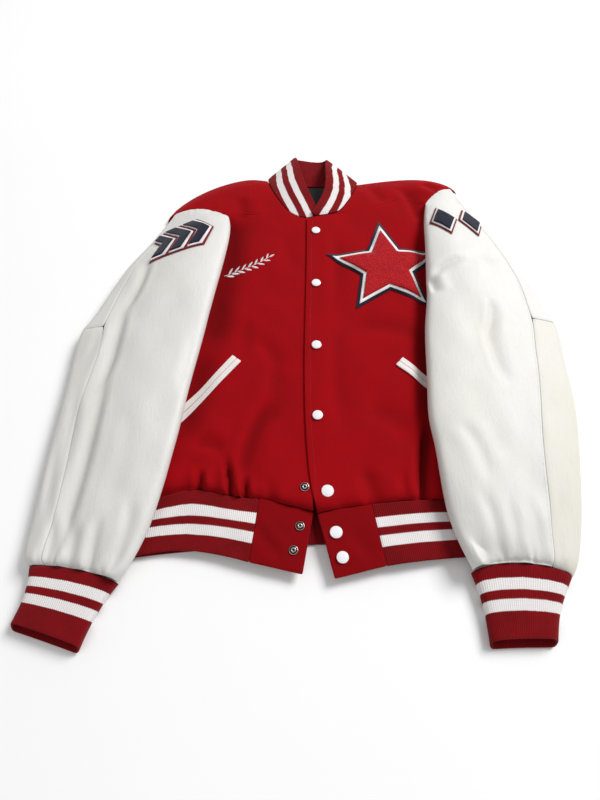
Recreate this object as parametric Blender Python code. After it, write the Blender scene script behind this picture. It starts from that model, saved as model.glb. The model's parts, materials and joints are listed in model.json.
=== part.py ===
"""Varsity jacket laid on its back: wool body, leather sleeves, striped rib collar, cuffs and hem band.

The garment lies on the plane z = 0 with its hem toward -Y, its collar toward +Y and the wearer's
left at +X. Tables and shape functions are in millimetres; meshes are made in metres.
"""
import math

import bmesh
import bpy
from mathutils import Vector
from mathutils.bvhtree import BVHTree

MM = 0.001
SEAM = 0.3            # gap between two sewn pieces
SEAM_TRIM = 0.25      # what each piece gives up at such a seam
WOOL = 2.0            # melton wool with its interlining
LEATHER = 1.8         # sleeve leather with its lining
RIB = 3.4             # rib knit, folded double
TAB = 2.6             # wool hem tab, folded double
LINING = 1.0
REST = 1.6            # clearance of a sleeve over what it lies on
UNDERARM_TRIM = 0.4   # the same at the seam under the arm, which bends over the hem
UNDER_REACH = 12.0    # how far round a point the sleeve looks for what it lies on

BODY_RISE = 17.0      # height of the fronts over their folded edge
FOLD_REACH = 70.0     # distance from a folded edge over which the fronts rise
BLOUSE_REACH = 38.0   # distance above the hem seam over which the wool blouses
LAP_LIFT = 2.9        # lift of the left front over the right front
LAP_EASE = 26.0       # distance over which that lift dies away
LAP_UNDER = 5.0       # how far a front runs on under the sleeve past their seam
RIB_PROUD = 1.0       # how far the collar stands over the wool at its seam

# Lower rows of the fronts, hem to collar: centre edge, side or armhole edge, upward bow of the row.
FRONT_COLUMNS = ("inner_x", "inner_y", "outer_x", "outer_y", "bow")
RIGHT_FRONT_ROWS = (
    (-8, -243, -250, -231, 13),
    (-10, -230, -257, -214, 9),
    (-1, -200, -262, -184, 4),
    (8, -125, -265, -115, 0),
    (13, -45, -266, -40, 0),
    (15, 30, -264, 30, 0),
    (16, 95, -260, 84, 0),
    (16, 150, -238, 122, 0),
    (16, 195, -212, 160, 0),
    (16, 232, -184, 198, 0),
    (15, 256, -160, 232, 0),
)
LEFT_FRONT_ROWS = (
    (-3, -245, 240, -228, 9),
    (-7, -232, 250, -212, 6),
    (-13, -200, 259, -184, 3),
    (-18, -125, 264, -115, 0),
    (-19, -45, 266, -40, 0),
    (-18, 30, 265, 30, 0),
    (-16, 95, 261, 84, 0),
    (-15, 150, 250, 122, 0),
    (-14, 195, 234, 165, 0),
    (-14, 232, 217, 212, 0),
    (-14, 260, 200, 256, 0),
)
# Upper rows of the fronts: neck seam point and bow of the row; their outer ends follow the sleeve cap.
NECK_COLUMNS = ("x", "y", "bow")
RIGHT_NECK = (
    (2, 259, 0), (-14, 262, 0), (-33, 268, 0), (-48, 281, 0), (-64, 309, 2), (-76, 338, 7), (-81, 357, 17), (-84, 371, 33),
)
LEFT_NECK = (
    (0, 264.5, 0), (13, 266, 0), (29, 271.5, 0), (43, 279, 0), (53, 296, 2), (63, 314, 6), (71, 337, 14), (77, 361, 28),
)
FRONT_SPREAD = (0, 0.1, 0.2, 0.29, 0.41, 0.53, 0.65, 0.76, 0.85, 0.92, 0.962, 0.988, 1.0)
TAB_COLUMN = 3        # column of the fronts where a hem tab meets the hem band
SHOULDER_FULLNESS = 0.55
SHOULDER_SKEW = {"right": 1.0, "left": 1.7}

# Soft troughs of the fronts: a line, the half width of the trough and its depth.
TROUGH_COLUMNS = ("x0", "y0", "x1", "y1", "width", "depth")
FRONT_TROUGHS = (
    (-118, 70, -108, 235, 16, 3.0),
    (-128, 300, -116, 262, 13, 2.4),
    (150, 345, 178, 268, 17, 4.0),
    (96, 345, 118, 300, 12, 2.0),
    (-168, -190, -160, -224, 8, 3.6),
    (-148, -196, -146, -226, 6, 2.8),
    (-112, -176, -104, -222, 7, 3.4),
    (-88, -204, -84, -226, 5, 2.2),
    (146, -150, 128, -226, 11, 3.2),
    (60, -190, 72, -230, 9, 2.0),
    (-60, -20, -40, -120, 22, 1.2),
    (70, 40, 150, 30, 24, 1.6),
)

# Sleeve rows, cap to cuff: inner edge, outer edge, fold radii, rise of the top between the folds,
# bow toward the cap, distance of the back-arm seam from the outer edge.
SLEEVE_COLUMNS = ("in_x", "in_y", "out_x", "out_y", "in_r", "out_r", "rise", "bow", "seam")
RIGHT_SLEEVE_ROWS = (
    (-142, 254, -248, 268, 3.2, 3.0, 0, 25, 11),
    (-138, 238, -256, 246, 6.5, 6, 4, 19, 14),
    (-137, 212, -267, 218, 9.5, 9, 8, 11, 16),
    (-140, 182, -283, 190, 11, 10.5, 10, 5, 17),
    (-145, 145, -301, 160, 12, 11.5, 11, 1, 18),
    (-150, 112, -316, 122, 12, 12, 11, 0, 20),
    (-154, 84, -328, 88, 12, 12, 11, 0, 24),
    (-158, 58, -339, 60, 12, 12, 10, 0, 30),
    (-161, 34, -352, 36, 12, 12, 9, 0, 37),
    (-165, 6, -356, 12, 12, 12, 9, 0, 44),
    (-170, -30, -356, -20, 12, 12, 9, 0, 42),
    (-178, -78, -357, -64, 12, 12, 9, 0, 34),
    (-182, -125, -360, -110, 12, 12, 9, 0, 31),
    (-190, -175, -362, -162, 12, 12, 9, 0, 34),
    (-199, -225, -363, -214, 12, 12, 9, 0, 36),
    (-210, -270, -364, -260, 12, 12, 8, 2, 33),
    (-223, -302, -365, -290, 11.5, 11.5, 7, 4, 29),
    (-233, -321, -364, -306, 11, 11, 5, 5, 26),
    (-243, -331, -356, -312, 10, 10, 3, 6, 22),
)
LEFT_SLEEVE_ROWS = (
    (186, 289, 249, 337, 3.2, 3.0, 0, 15, 9),
    (181, 264, 263, 302, 6.5, 6, 5, 13, 13),
    (176, 236, 282, 258, 9.5, 9, 9, 8, 15),
    (173, 198, 304, 211, 11, 10.5, 11, 3, 17),
    (170, 158, 324, 162, 12, 11.5, 12, 0, 19),
    (167, 118, 339, 116, 12, 12, 12, 0, 24),
    (165, 84, 350, 82, 12, 12, 11, 0, 34),
    (160, 54, 361, 48, 12, 12, 10, 0, 42),
    (155, 20, 364, 22, 12, 12, 10, 0, 47),
    (153, -20, 360, -12, 12, 12, 10, 0, 48),
    (150, -62, 362, -60, 12, 12, 10, 0, 53),
    (144, -120, 358, -116, 12, 12, 9, 0, 58),
    (151, -152, 352, -148, 12, 12, 9, 0, 57),
    (152, -202, 344, -196, 12, 12, 9, 0, 54),
    (157, -250, 334, -247, 12, 12, 8, 2, 47),
    (167, -284, 323, -288, 11.5, 11.5, 7, 6, 40),
    (175, -306, 315, -312, 11, 11, 5, 9, 33),
    (182, -318, 305, -324, 10, 10, 3, 12, 27),
)
CAP_SKEW = {"right": 1.0, "left": 1.35}
UNDERARM_ROW = 6      # first row of a sleeve whose section is closed
ELBOW_ROW = {"right": 8, "left": 7}
# Width of the sleeve's under layer inside the armhole, row by row from the cap:
# from the inner edge to the front armhole seam, and from the outer edge to the back armhole seam.
ARMHOLE_COLUMNS = ("front", "back_gap")
RIGHT_ARMHOLE = ((9, 7), (20, 20), (38, 34), (58, 48), (76, 62), (93, 69))
LEFT_ARMHOLE = ((9, 7), (20, 22), (34, 42), (48, 60), (64, 72), (80, 80))

SLEEVE_TROUGHS = {
    "right": (
        (-277, 120, -296, -20, 13, 4.5),
        (-296, -20, -318, -285, 11, 4.0),
        (-338, -110, -330, -30, 9, 2.4),
        (-300, -200, -322, -290, 12, 2.2),
    ),
    "left": (
        (166, 92, 240, 148, 11, 4.6),
        (240, 148, 318, 158, 14, 2.2),
        (252, 66, 246, 10, 12, 4.2),
        (246, 10, 264, -62, 11, 3.8),
        (196, -176, 250, -200, 18, 2.4),
        (214, -262, 290, -286, 12, 2.6),
    ),
}

# Cuff rows, sleeve to mouth: inner edge, outer edge, fold radius, bow toward the sleeve.
CUFF_COLUMNS = ("in_x", "in_y", "out_x", "out_y", "radius", "bow")
RIGHT_CUFF_ROWS = (
    (-243, -332, -356, -313, 10, 6),
    (-252, -344, -354, -328, 10, 7),
    (-262, -362, -355, -347, 9.5, 7),
    (-271, -382, -359, -362, 9, 5),
    (-277, -403, -364, -376, 8.5, 1),
)
LEFT_CUFF_ROWS = (
    (182, -319, 305, -325, 10, 12),
    (187, -336, 296, -340, 10, 13),
    (191, -355, 286, -357, 9.5, 12),
    (193, -376, 279, -374, 9, 8),
    (193, -397, 274, -395, 8.5, 2),
)
MOUTH_SHIFT = 7.0     # how far a cuff's under layer shows past its top layer at the mouth

# Collar rows on its outer face. The front rows take their seam points from the neck tables.
COLLAR_TOP_COLUMNS = ("x", "y", "z")
RIGHT_COLLAR_TOP = (
    (9, 273, 21.0), (2, 290, 23.0), (-5, 308, 27.0), (-13, 328, 30.0), (-21, 353, 31.5), (-26, 384, 29.5),
    (-31, 410, 24.0),
)
LEFT_COLLAR_TOP = (
    (-6, 271, 28.0), (-2.5, 277, 28.7), (1, 284, 29.1), (6, 293, 29.5), (13, 310, 30.5), (18, 328, 31.5), (20, 356, 31.5),
    (19, 388, 28.5),
)
COLLAR_BACK_COLUMNS = ("seam_x", "seam_y", "seam_z", "top_x", "top_y", "top_z")
COLLAR_BACK = (
    (-81, 372, 6.4, -35, 419, 15.5),
    (-77, 373, 0.6, -30, 423, 6.5),
    (-60, 369, 0.0, -20, 424, 2.2),
    (-30, 360, 0.0, -12, 423, 0.6),
    (0, 356, 0.0, -5, 422, 0.2),
    (30, 358, 0.0, 3, 421, 0.6),
    (56, 362, 0.0, 10, 420, 2.2),
    (70, 368, 0.6, 17, 419, 6.5),
    (75, 366, 6.4, 23, 414, 15.5),
)
COLLAR_SWELL = 1.6    # rise of the collar between its seam and its top edge

# Hem: lower edges of band and tabs as the fractions of FRONT_SPREAD reach them.
RIGHT_HEM_FOOT = ((-22, -321), (-52, -314), (-84, -307), (-128, -295), (-179, -289), (-225, -296), (-250, -301))
LEFT_HEM_FOOT = ((17, -326), (46, -319), (78, -311), (125, -304), (175, -299), (215, -297), (240, -298))
HEM_HEIGHT_Z = 15.5   # outer face of the front hem over the floor at the centre
HEM_SIDE_Z = 10.0     # and at its side folds
HEM_SWELL = 1.4
BACK_HEM_COLUMNS = ("x", "top_y", "foot_y")
BACK_HEM = (
    (-248, -233, -300), (-200, -228, -293), (-100, -219, -284), (0, -215, -280), (100, -218, -283),
    (195, -226, -291), (238, -230, -297),
)

# Slant pockets: middle of the upper end, direction, length and width of each welt strip.
POCKETS = {
    "right": {"top": (-116, -16), "way": (-0.63, -0.777), "outer_side": 1},
    "left": {"top": (118, -20), "way": (0.76, -0.65), "outer_side": -1},
}
WELT_LENGTH = 146.0
WELT_WIDTH = 8.3
WELT_THICK = 1.8

SNAP_COLUMNS = ("x", "y", "radius")
SNAP_CAPS = (
    (1, 231, 7.0), (0, 121, 7.0), (-1, 5, 7.2), (-1, -110, 7.2), (10, -219, 8.0), (20, -270, 8.0), (27, -301, 7.6),
)
SNAP_HEIGHT = 3.6
SNAP_STUDS = ((-19, -213, 5.8), (-25, -262, 5.8), (-33, -292, 5.8))
STUD_HEIGHT = 2.6
SNAP_SEAT = 0.8       # clearance of a snap over the cloth it is riveted to

STAR_CENTRE = (112, 156)
STAR_RADIUS = 76.0    # to the points of the chenille face
STAR_WAIST = 0.46     # inner corners over outer points
STAR_TURN = math.radians(4)
PATCH_LAYERS = (("backing", 9.0, 0.8), ("outline", 4.8, 0.8), ("face", 0.0, 1.5))  # margin and thickness

PATCH_LIFT = 0.5
PATCH_GAP = 0.4
RIGHT_BADGE_CENTRE = (-206, 206)
RIGHT_BADGE_TURN = math.radians(16)
CHEVRON_LENGTH = 30.0
CHEVRON_RISE = 22.0
CHEVRON_PITCH = 30.0
CHEVRON_BAR = 8.5
LEFT_BADGE_CENTRE = (230, 238)
LEFT_BADGE_TURN = math.radians(13)
LOZENGE_HALF = (17.0, 26.0)
LOZENGE_PITCH = 49.0

COLOURS = {
    "wool": (0.36, 0.008, 0.016), "rib": (0.30, 0.010, 0.018), "leather": (0.80, 0.79, 0.75),
    "enamel": (0.92, 0.91, 0.93), "nickel": (0.62, 0.60, 0.57), "lining": (0.012, 0.012, 0.016),
    "navy": (0.010, 0.012, 0.030), "felt_white": (0.86, 0.84, 0.85), "chenille": (0.58, 0.012, 0.020),
    "felt_red": (0.30, 0.020, 0.035),
}
ROUGHNESS = {"leather": 0.5, "enamel": 0.25, "nickel": 0.3, "lining": 0.45}


# ---------------------------------------------------------------------------------- small tools
def material(kind):
    """Principled material of one kind of cloth or trim."""
    found = bpy.data.materials.get(kind)
    if found:
        return found
    made = bpy.data.materials.new(kind)
    made.use_nodes = True
    shader = made.node_tree.nodes["Principled BSDF"]
    shader.inputs["Base Color"].default_value = (*COLOURS[kind], 1)
    shader.inputs["Roughness"].default_value = ROUGHNESS.get(kind, 0.9)
    shader.inputs["Metallic"].default_value = 1.0 if kind == "nickel" else 0.0
    return made


def add_object(name, mesh_maker, kind):
    """Finish a bmesh in millimetres as a named object in metres."""
    bmesh.ops.recalc_face_normals(mesh_maker, faces=mesh_maker.faces)
    bmesh.ops.scale(mesh_maker, vec=(MM, MM, MM), verts=mesh_maker.verts)
    mesh = bpy.data.meshes.new(name)
    mesh_maker.to_mesh(mesh)
    mesh_maker.free()
    mesh.materials.append(material(kind))
    made = bpy.data.objects.new(name, mesh)
    bpy.context.collection.objects.link(made)
    return made


def blend(low, high, share):
    return low + (high - low) * share


def ease(share):
    """Smooth step from 0 to 1."""
    share = min(max(share, 0.0), 1.0)
    return share * share * (3 - 2 * share)


def round_rise(share):
    """Quarter ellipse: steep at a folded edge, level at its end."""
    share = min(max(share, 0.0), 1.0)
    return math.sqrt(1 - (1 - share) ** 2)


def arch(share, skew=1.0, fullness=0.7):
    """Bow of a row: nothing at its ends, 1 at its crest."""
    return max(math.sin(math.pi * min(max(share, 0.0), 1.0) ** skew), 0.0) ** fullness


def segment_distance(x, y, start, end):
    """Distance in plan from a point to a line segment."""
    along_x, along_y = end[0] - start[0], end[1] - start[1]
    length = along_x * along_x + along_y * along_y
    share = ((x - start[0]) * along_x + (y - start[1]) * along_y) / length if length else 0
    share = min(max(share, 0.0), 1.0)
    return math.hypot(x - start[0] - share * along_x, y - start[1] - share * along_y)


def trough_depth(table, x, y):
    """Sum of the soft troughs of a table at one place."""
    total = 0.0
    for row in table:
        trough = dict(zip(TROUGH_COLUMNS, row))
        away = segment_distance(x, y, (trough["x0"], trough["y0"]), (trough["x1"], trough["y1"]))
        total += trough["depth"] * math.exp(-((away / trough["width"]) ** 2))
    return total


def along(points, share):
    """Point at a share of the length of a polyline."""
    lengths = [math.dist(points[i], points[i + 1]) for i in range(len(points) - 1)]
    left = share * sum(lengths)
    for i, length in enumerate(lengths):
        if left <= length or i == len(lengths) - 1:
            step = left / length
            return tuple(blend(points[i][k], points[i + 1][k], step) for k in range(len(points[i])))
        left -= length
    return points[-1]


def grid_normals(grid, side):
    """Unit normals of a grid of points; side is 1 or -1 so that they point out of the garment."""
    rows, columns = len(grid), len(grid[0])
    normals = []
    for i in range(rows):
        line = []
        for j in range(columns):
            down = grid[min(i + 1, rows - 1)][j] - grid[max(i - 1, 0)][j]
            across = grid[i][min(j + 1, columns - 1)] - grid[i][max(j - 1, 0)]
            line.append(across.cross(down).normalized() * side)
        normals.append(line)
    return normals


def inner_layer(grid, thickness, side):
    """The grid moved inward by the cloth's thickness."""
    normals = grid_normals(grid, side)
    return [[point - normal * thickness for point, normal in zip(*lines)] for lines in zip(grid, normals)]


def cloth(name, outer, inner, kind, closed=False):
    """Cloth wall between an outer and an inner grid; closed joins its first and last columns."""
    rows, columns = len(outer), len(outer[0])
    wall = bmesh.new()
    bmesh.ops.create_grid(wall, x_segments=columns - 1, y_segments=rows - 1, size=1)
    within = wall.verts.layers.float_vector.new("within")
    wall.verts.ensure_lookup_table()
    for i in range(rows):
        for j in range(columns):
            corner = wall.verts[i * columns + j]
            corner.co = outer[i][j]
            corner[within] = inner[i][j]
    if closed:
        bmesh.ops.remove_doubles(wall, verts=wall.verts, dist=1e-4)
    grown = bmesh.ops.extrude_face_region(wall, geom=wall.faces[:])
    for item in grown["geom"]:
        if isinstance(item, bmesh.types.BMVert):
            item.co = item[within]
    return add_object(name, wall, kind)


def part_of(grid, columns=None, rows=None):
    """Columns and rows of a grid, first and last included."""
    row_first, row_last = rows or (0, len(grid) - 1)
    first, last = columns or (0, len(grid[0]) - 1)
    return [line[first:last + 1] for line in grid[row_first:row_last + 1]]


def trim_edge(grid, edge, distance):
    """Pull one edge of a grid back along the cloth to leave a seam gap."""
    grid = [list(line) for line in grid]
    if edge in ("first_column", "last_column"):
        at, beside = (0, 1) if edge == "first_column" else (-1, -2)
        for line in grid:
            line[at] = line[at] + (line[beside] - line[at]).normalized() * distance
    else:
        at, beside = (0, 1) if edge == "first_row" else (-1, -2)
        grid[at] = [p + (q - p).normalized() * distance for p, q in zip(grid[at], grid[beside])]
    return grid


def beside(points, distance):
    """A polyline in plan moved to the left of its own way."""
    moved = []
    for i, point in enumerate(points):
        before, after = points[max(i - 1, 0)], points[min(i + 1, len(points) - 1)]
        way = Vector((after[0] - before[0], after[1] - before[1])).normalized()
        moved.append((point[0] - way.y * distance, point[1] + way.x * distance))
    return moved


class Surface:
    """Everything built so far, asked for its height under a point (millimetres)."""

    def __init__(self, objects):
        points, faces = [], []
        for item in objects:
            base = len(points)
            points.extend(v.co / MM for v in item.data.vertices)
            faces.extend([base + k for k in face.vertices] for face in item.data.polygons)
        self.tree = BVHTree.FromPolygons(points, faces)

    def height(self, x, y, reach=0.0):
        """Highest point at a place, or within a short reach of it; the floor is 0.

        The wide reach looks twice as far along y, because cloth there lies on a slope that runs so.
        """
        best = 0.0
        steps = [(a / 2, b / 4) for a in range(-2, 3) for b in range(-4, 5)] if reach else [(0, 0)]
        for step_x, step_y in steps:
            along = reach * (2 if reach == UNDER_REACH else 1)
            spot = Vector((x + reach * step_x, y + along * step_y, 400))
            hit = self.tree.ray_cast(spot, Vector((0, 0, -1)))[0]
            if hit:
                best = max(best, hit.z)
        return best


# --------------------------------------------------------------------------------------- sleeves
class Sleeve:
    """One sleeve: its rows, the cap line that it shares with the body, and its sections."""

    def __init__(self, side):
        right = side == "right"
        self.side = side
        self.rows = [dict(zip(SLEEVE_COLUMNS, r)) for r in (RIGHT_SLEEVE_ROWS if right else LEFT_SLEEVE_ROWS)]
        self.armhole = [dict(zip(ARMHOLE_COLUMNS, r)) for r in (RIGHT_ARMHOLE if right else LEFT_ARMHOLE)]
        self.troughs = SLEEVE_TROUGHS[side]
        for index, row in enumerate(self.rows):
            row["skew"] = blend(CAP_SKEW[side], 1.0, min(index / 4, 1))

    def width(self, row):
        return math.dist((row["in_x"], row["in_y"]), (row["out_x"], row["out_y"]))

    def plan(self, row, reach):
        """Place in plan at a distance from the inner edge along a row."""
        width = self.width(row)
        share = reach / width
        across = Vector((row["out_x"] - row["in_x"], row["out_y"] - row["in_y"])) / width
        toward_cap = Vector((-across.y, across.x))
        if toward_cap.y < 0:
            toward_cap = -toward_cap
        spot = Vector((row["in_x"], row["in_y"])) + across * reach
        return spot + toward_cap * row["bow"] * arch(share, row["skew"], 0.6)

    def top_reaches(self, row):
        """Distances of the top's columns from the inner edge; the last is the back-arm seam."""
        start, end = row["in_r"], self.width(row) - row["seam"]
        return [blend(start, end, k / 6) for k in range(1, 7)]

    def cap_line(self):
        """Plan points of the visible armhole seam, inner fold to silhouette."""
        row = self.rows[0]
        reaches = self.top_reaches(row) + [self.width(row) - row["out_r"], self.width(row)]
        return [self.plan(row, reach) for reach in reaches]

    def top_height(self, index, reach, spot, below):
        """Height of the outer face on the top of the sleeve."""
        row = self.rows[index]
        width = self.width(row)
        flat = (reach - row["in_r"]) / (width - row["in_r"] - row["out_r"])
        inner_top = below.height(row["in_x"], row["in_y"], 5) + REST + 2 * row["in_r"]
        free = blend(inner_top, 2 * row["out_r"], ease(flat)) + row["rise"] * arch(flat, 1, 0.8)
        free -= trough_depth(self.troughs, spot.x, spot.y)
        if index > 0:
            return free
        corner = (inner_top - below.height(spot.x, spot.y, 5) - 0.5) * (1 - ease(flat / 0.22))
        return below.height(spot.x, spot.y, 3) + 0.5 + max(corner, 0)

    def section(self, index, below, edge_reach):
        """Outer points of one section, from the front armhole seam round to the back one."""
        row = self.rows[index]
        width = self.width(row)
        closed = index >= UNDERARM_ROW
        if closed:
            seam = max(edge_reach + 3, row["in_r"] + 30)
            under_in = [blend(seam, row["in_r"], share) for share in (0, 0.2, 0.45, 0.75)]
            under_out = [blend(width - row["out_r"], seam, share) for share in (0.4, 0.65, 0.85, 1)]
        else:
            hole = self.armhole[index]
            front, back = min(hole["front"], edge_reach - LAP_UNDER), width - hole["back_gap"]
            under_in = [blend(front, row["in_r"], k / 4) for k in range(4)]
            under_out = [blend(width - row["out_r"], back, k / 4) for k in range(1, 5)]
        points = []
        for reach in under_in:
            spot = self.plan(row, reach)
            points.append(Vector((spot.x, spot.y, below.height(spot.x, spot.y, UNDER_REACH) + REST)))
        fold_z = max(below.height(row["in_x"], row["in_y"], 5) + REST, points[-1].z) + row["in_r"]
        for k in range(5):
            angle = math.radians(-90 + 45 * k)
            spot = self.plan(row, row["in_r"] * (1 - math.cos(angle)))
            points.append(Vector((spot.x, spot.y, fold_z + row["in_r"] * math.sin(angle))))
        for reach in self.top_reaches(row):
            spot = self.plan(row, reach)
            points.append(Vector((spot.x, spot.y, self.top_height(index, reach, spot, below))))
        for k in range(5):
            angle = math.radians(90 - 45 * k)
            spot = self.plan(row, width - row["out_r"] * (1 - math.cos(angle)))
            points.append(Vector((spot.x, spot.y, row["out_r"] * (1 + math.sin(angle)))))
        for reach in under_out:
            spot = self.plan(row, reach)
            low = below.height(spot.x, spot.y, UNDER_REACH) if closed else 0.0
            points.append(Vector((spot.x, spot.y, low + REST if low else 0.0)))
        return points

    def build(self, below, edge_reaches):
        """Top sleeve, upper and lower under sleeve."""
        grid = [self.section(i, below, edge_reaches[i]) for i in range(len(self.rows))]
        side = 1 if self.side == "right" else -1
        normals = grid_normals(grid, side)
        for k, normal in enumerate(normals[0]):
            across = grid[0][min(k + 1, len(normals[0]) - 1)] - grid[0][max(k - 1, 0)]
            cap_way = Vector((-across.y, across.x, 0)).normalized()
            cap_way *= 1 if cap_way.y > 0 else -1
            normals[0][k] = (normal - cap_way * min(normal.dot(cap_way), 0)).normalized()
        for line in normals[UNDERARM_ROW:]:
            line[0] = (line[0] + line[-1]).normalized()
            line[-1] = line[0].copy()
        inner = [[p - n * LEATHER for p, n in zip(*lines)] for lines in zip(grid, normals)]
        seam_column = 4 + 5 + 6 - 1
        elbow = ELBOW_ROW[self.side]
        last_row, last_column = len(grid) - 1, len(grid[0]) - 1
        pieces = (
            ("top_sleeve", (0, seam_column), (0, last_row), ("first_column", "last_column")),
            ("upper_under_sleeve", (seam_column, last_column), (0, elbow), ("first_column", "last_column", "last_row")),
            ("lower_under_sleeve", (seam_column, last_column), (elbow, last_row),
             ("first_column", "last_column", "first_row")),
        )
        made = []
        for label, columns, rows, edges in pieces:
            layers = [part_of(layer, columns, rows) for layer in (grid, inner)]
            for edge in edges:
                underarm = edge == ("first_column" if label == "top_sleeve" else "last_column")
                layers = [trim_edge(layer, edge, UNDERARM_TRIM if underarm else SEAM_TRIM) for layer in layers]
            made.append(cloth(f"{self.side}_{label}", layers[0], layers[1], "leather"))
        return made


# ------------------------------------------------------------------------------------------ body
def front_plan(side, sleeve):
    """Plan grid of one front: rows from hem to shoulder, columns from the centre out."""
    right = side == "right"
    rows = [dict(zip(FRONT_COLUMNS, r)) for r in (RIGHT_FRONT_ROWS if right else LEFT_FRONT_ROWS)]
    necks = [dict(zip(NECK_COLUMNS, r)) for r in (RIGHT_NECK if right else LEFT_NECK)]
    seam = [(p.x, p.y) for p in sleeve.cap_line()]
    toward = 1 if side == "left" else -1
    caps = [Vector(p) for p in beside(seam, toward * 2 * SEAM)]
    caps[-3:] = [Vector(p) for p in beside(seam, toward * 4 * SEAM)[-3:]]
    grid = []
    for row in rows:
        grid.append((Vector((row["inner_x"], row["inner_y"])), Vector((row["outer_x"], row["outer_y"])), row["bow"]))
    for neck, cap in zip(necks, caps):
        middle = Vector((neck["x"], neck["y"]))
        grid.append((middle, cap, neck["bow"]))
    lines = []
    for index, (start, end, bow) in enumerate(grid):
        across = (end - start).normalized()
        up = Vector((-across.y, across.x))
        if up.y < 0:
            up = -up
        skew = SHOULDER_SKEW[side] if index > len(rows) else 1.0
        fullness = SHOULDER_FULLNESS if index == len(grid) - 1 else 0.8
        lines.append([start.lerp(end, s) + up * bow * arch(s, skew, fullness) for s in FRONT_SPREAD])
    return lines


class Body:
    """Plan of both fronts and the height of their outer faces."""

    def __init__(self, sleeves):
        self.plans = {side: front_plan(side, sleeves[side]) for side in ("right", "left")}
        self.folds = {}
        for side, plan in self.plans.items():
            edge = [line[-1] for line in plan[:UNDERARM_ROW + 1]]
            self.folds[side] = edge + list(reversed(plan[-1]))
        self.free_edge = [line[0] for line in self.plans["right"][:11]]

    def hem_z(self, x):
        """Height of the front hem's outer face at its seam."""
        return blend(HEM_HEIGHT_Z, HEM_SIDE_Z, ease((abs(x) - 90) / 150))

    def hem_y(self, x):
        """Y of the hem seam at x."""
        side = "right" if x < -5 else "left"
        line = self.plans[side][0]
        for start, end in zip(line, line[1:]):
            if min(start.x, end.x) <= x <= max(start.x, end.x):
                return blend(start.y, end.y, (x - start.x) / (end.x - start.x))
        return line[-1].y if abs(x) > 100 else line[0].y

    def height(self, x, y):
        """Height of the fronts' outer face, without the lap."""
        fold = self.folds["right" if x < 0 else "left"]
        away = min(segment_distance(x, y, a, b) for a, b in zip(fold, fold[1:]))
        edge = SEAM + 2 * WOOL
        top = edge + BODY_RISE * round_rise(away / FOLD_REACH)
        top -= trough_depth(FRONT_TROUGHS, x, y) * ease(away / 30)
        blouse = round_rise((y - self.hem_y(x)) / BLOUSE_REACH)
        return blend(min(self.hem_z(x), top), top, blouse)

    def lap(self, x, y):
        """Lift of the left front where the right front lies under it."""
        edge_x = self.free_edge[0].x
        for low, high in zip(self.free_edge, self.free_edge[1:]):
            if low.y <= y <= high.y:
                edge_x = blend(low.x, high.x, (y - low.y) / (high.y - low.y))
        if y > self.free_edge[-1].y:
            edge_x = self.free_edge[-1].x
        fade = ease((y - self.hem_y(x)) / 16)
        return LAP_LIFT * fade * (1 - ease((x - edge_x - 5) / LAP_EASE))

    def build_front(self, side):
        lift = self.lap if side == "left" else lambda x, y: 0.0
        grid = [
            [Vector((p.x, p.y, self.height(p.x, p.y) + lift(p.x, p.y))) for p in line] for line in self.plans[side]
        ]
        inner = inner_layer(grid, WOOL, -1 if side == "right" else 1)
        for index, (line, below) in enumerate(zip(grid, inner)):
            below[-1] = line[-1] - Vector((0, 0, WOOL))
            if index > UNDERARM_ROW:
                below[:] = [p - Vector((0, 0, WOOL)) for p in line]
        return cloth(f"{side}_front", grid, inner, "wool"), grid


def flat_piece(name, outline, low, thickness, kind):
    """A flat piece of cloth of any outline."""
    plate = bmesh.new()
    corners = [plate.verts.new((p[0], p[1], low)) for p in outline]
    face = plate.faces.new(corners)
    grown = bmesh.ops.extrude_face_region(plate, geom=[face])
    raised = [v for v in grown["geom"] if isinstance(v, bmesh.types.BMVert)]
    bmesh.ops.translate(plate, vec=(0, 0, thickness), verts=raised)
    bmesh.ops.triangulate(plate, faces=plate.faces[:])
    return add_object(name, plate, kind)


def build_hem(body, fronts):
    """Hem band from tab to tab round the back, and the two wool tabs."""
    down = Vector((0, -SEAM, 0))
    columns = {}
    for side, foot in (("right", RIGHT_HEM_FOOT), ("left", LEFT_HEM_FOOT)):
        line = []
        for point, share in zip(fronts[side][0], FRONT_SPREAD):
            top = Vector((point.x, point.y, max(body.hem_z(point.x), point.z))) + down
            low = along(foot, share)
            line.append((top, Vector((low[0], low[1], body.hem_z(low[0]) - 1.5))))
        columns[side] = line
    made = []
    for side, line in columns.items():
        grid = column_grid(line[:TAB_COLUMN + 1])
        layers = [trim_edge(g, "last_column", SEAM) for g in (grid, inner_layer(grid, TAB, hem_side(side)))]
        made.append(cloth(f"{side}_hem_tab", layers[0], layers[1], "wool"))
    back = [dict(zip(BACK_HEM_COLUMNS, row)) for row in BACK_HEM]
    loop = list(columns["right"][TAB_COLUMN:])
    loop += fold_columns(loop[-1], back[0], -1)
    loop += [(Vector((b["x"], b["top_y"], 0)), Vector((b["x"], b["foot_y"], 0))) for b in back]
    left = list(reversed(columns["left"][TAB_COLUMN:]))
    loop += list(reversed(fold_columns(left[0], back[-1], 1)))
    loop += left
    grid = column_grid(loop)
    inner = inner_layer(grid, RIB, hem_side("right"))
    made.append(cloth("hem_band", grid, inner, "rib"))
    return made, back


def hem_side(side):
    """Side on which the hem's outer face lies, for its normals."""
    return 1 if side == "right" else -1


def fold_columns(front, back, outward):
    """Two columns that carry the hem band round its side fold."""
    top, foot = front
    radius = top.z / 2
    spots = []
    for share, out in ((0.7, 0.75), (0.3, 0.75)):
        spots.append((
            Vector((top.x + outward * radius * out, blend(back["top_y"], top.y, share), top.z * share)),
            Vector((foot.x + outward * radius * out, blend(back["foot_y"], foot.y, share), foot.z * share)),
        ))
    return spots


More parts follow.
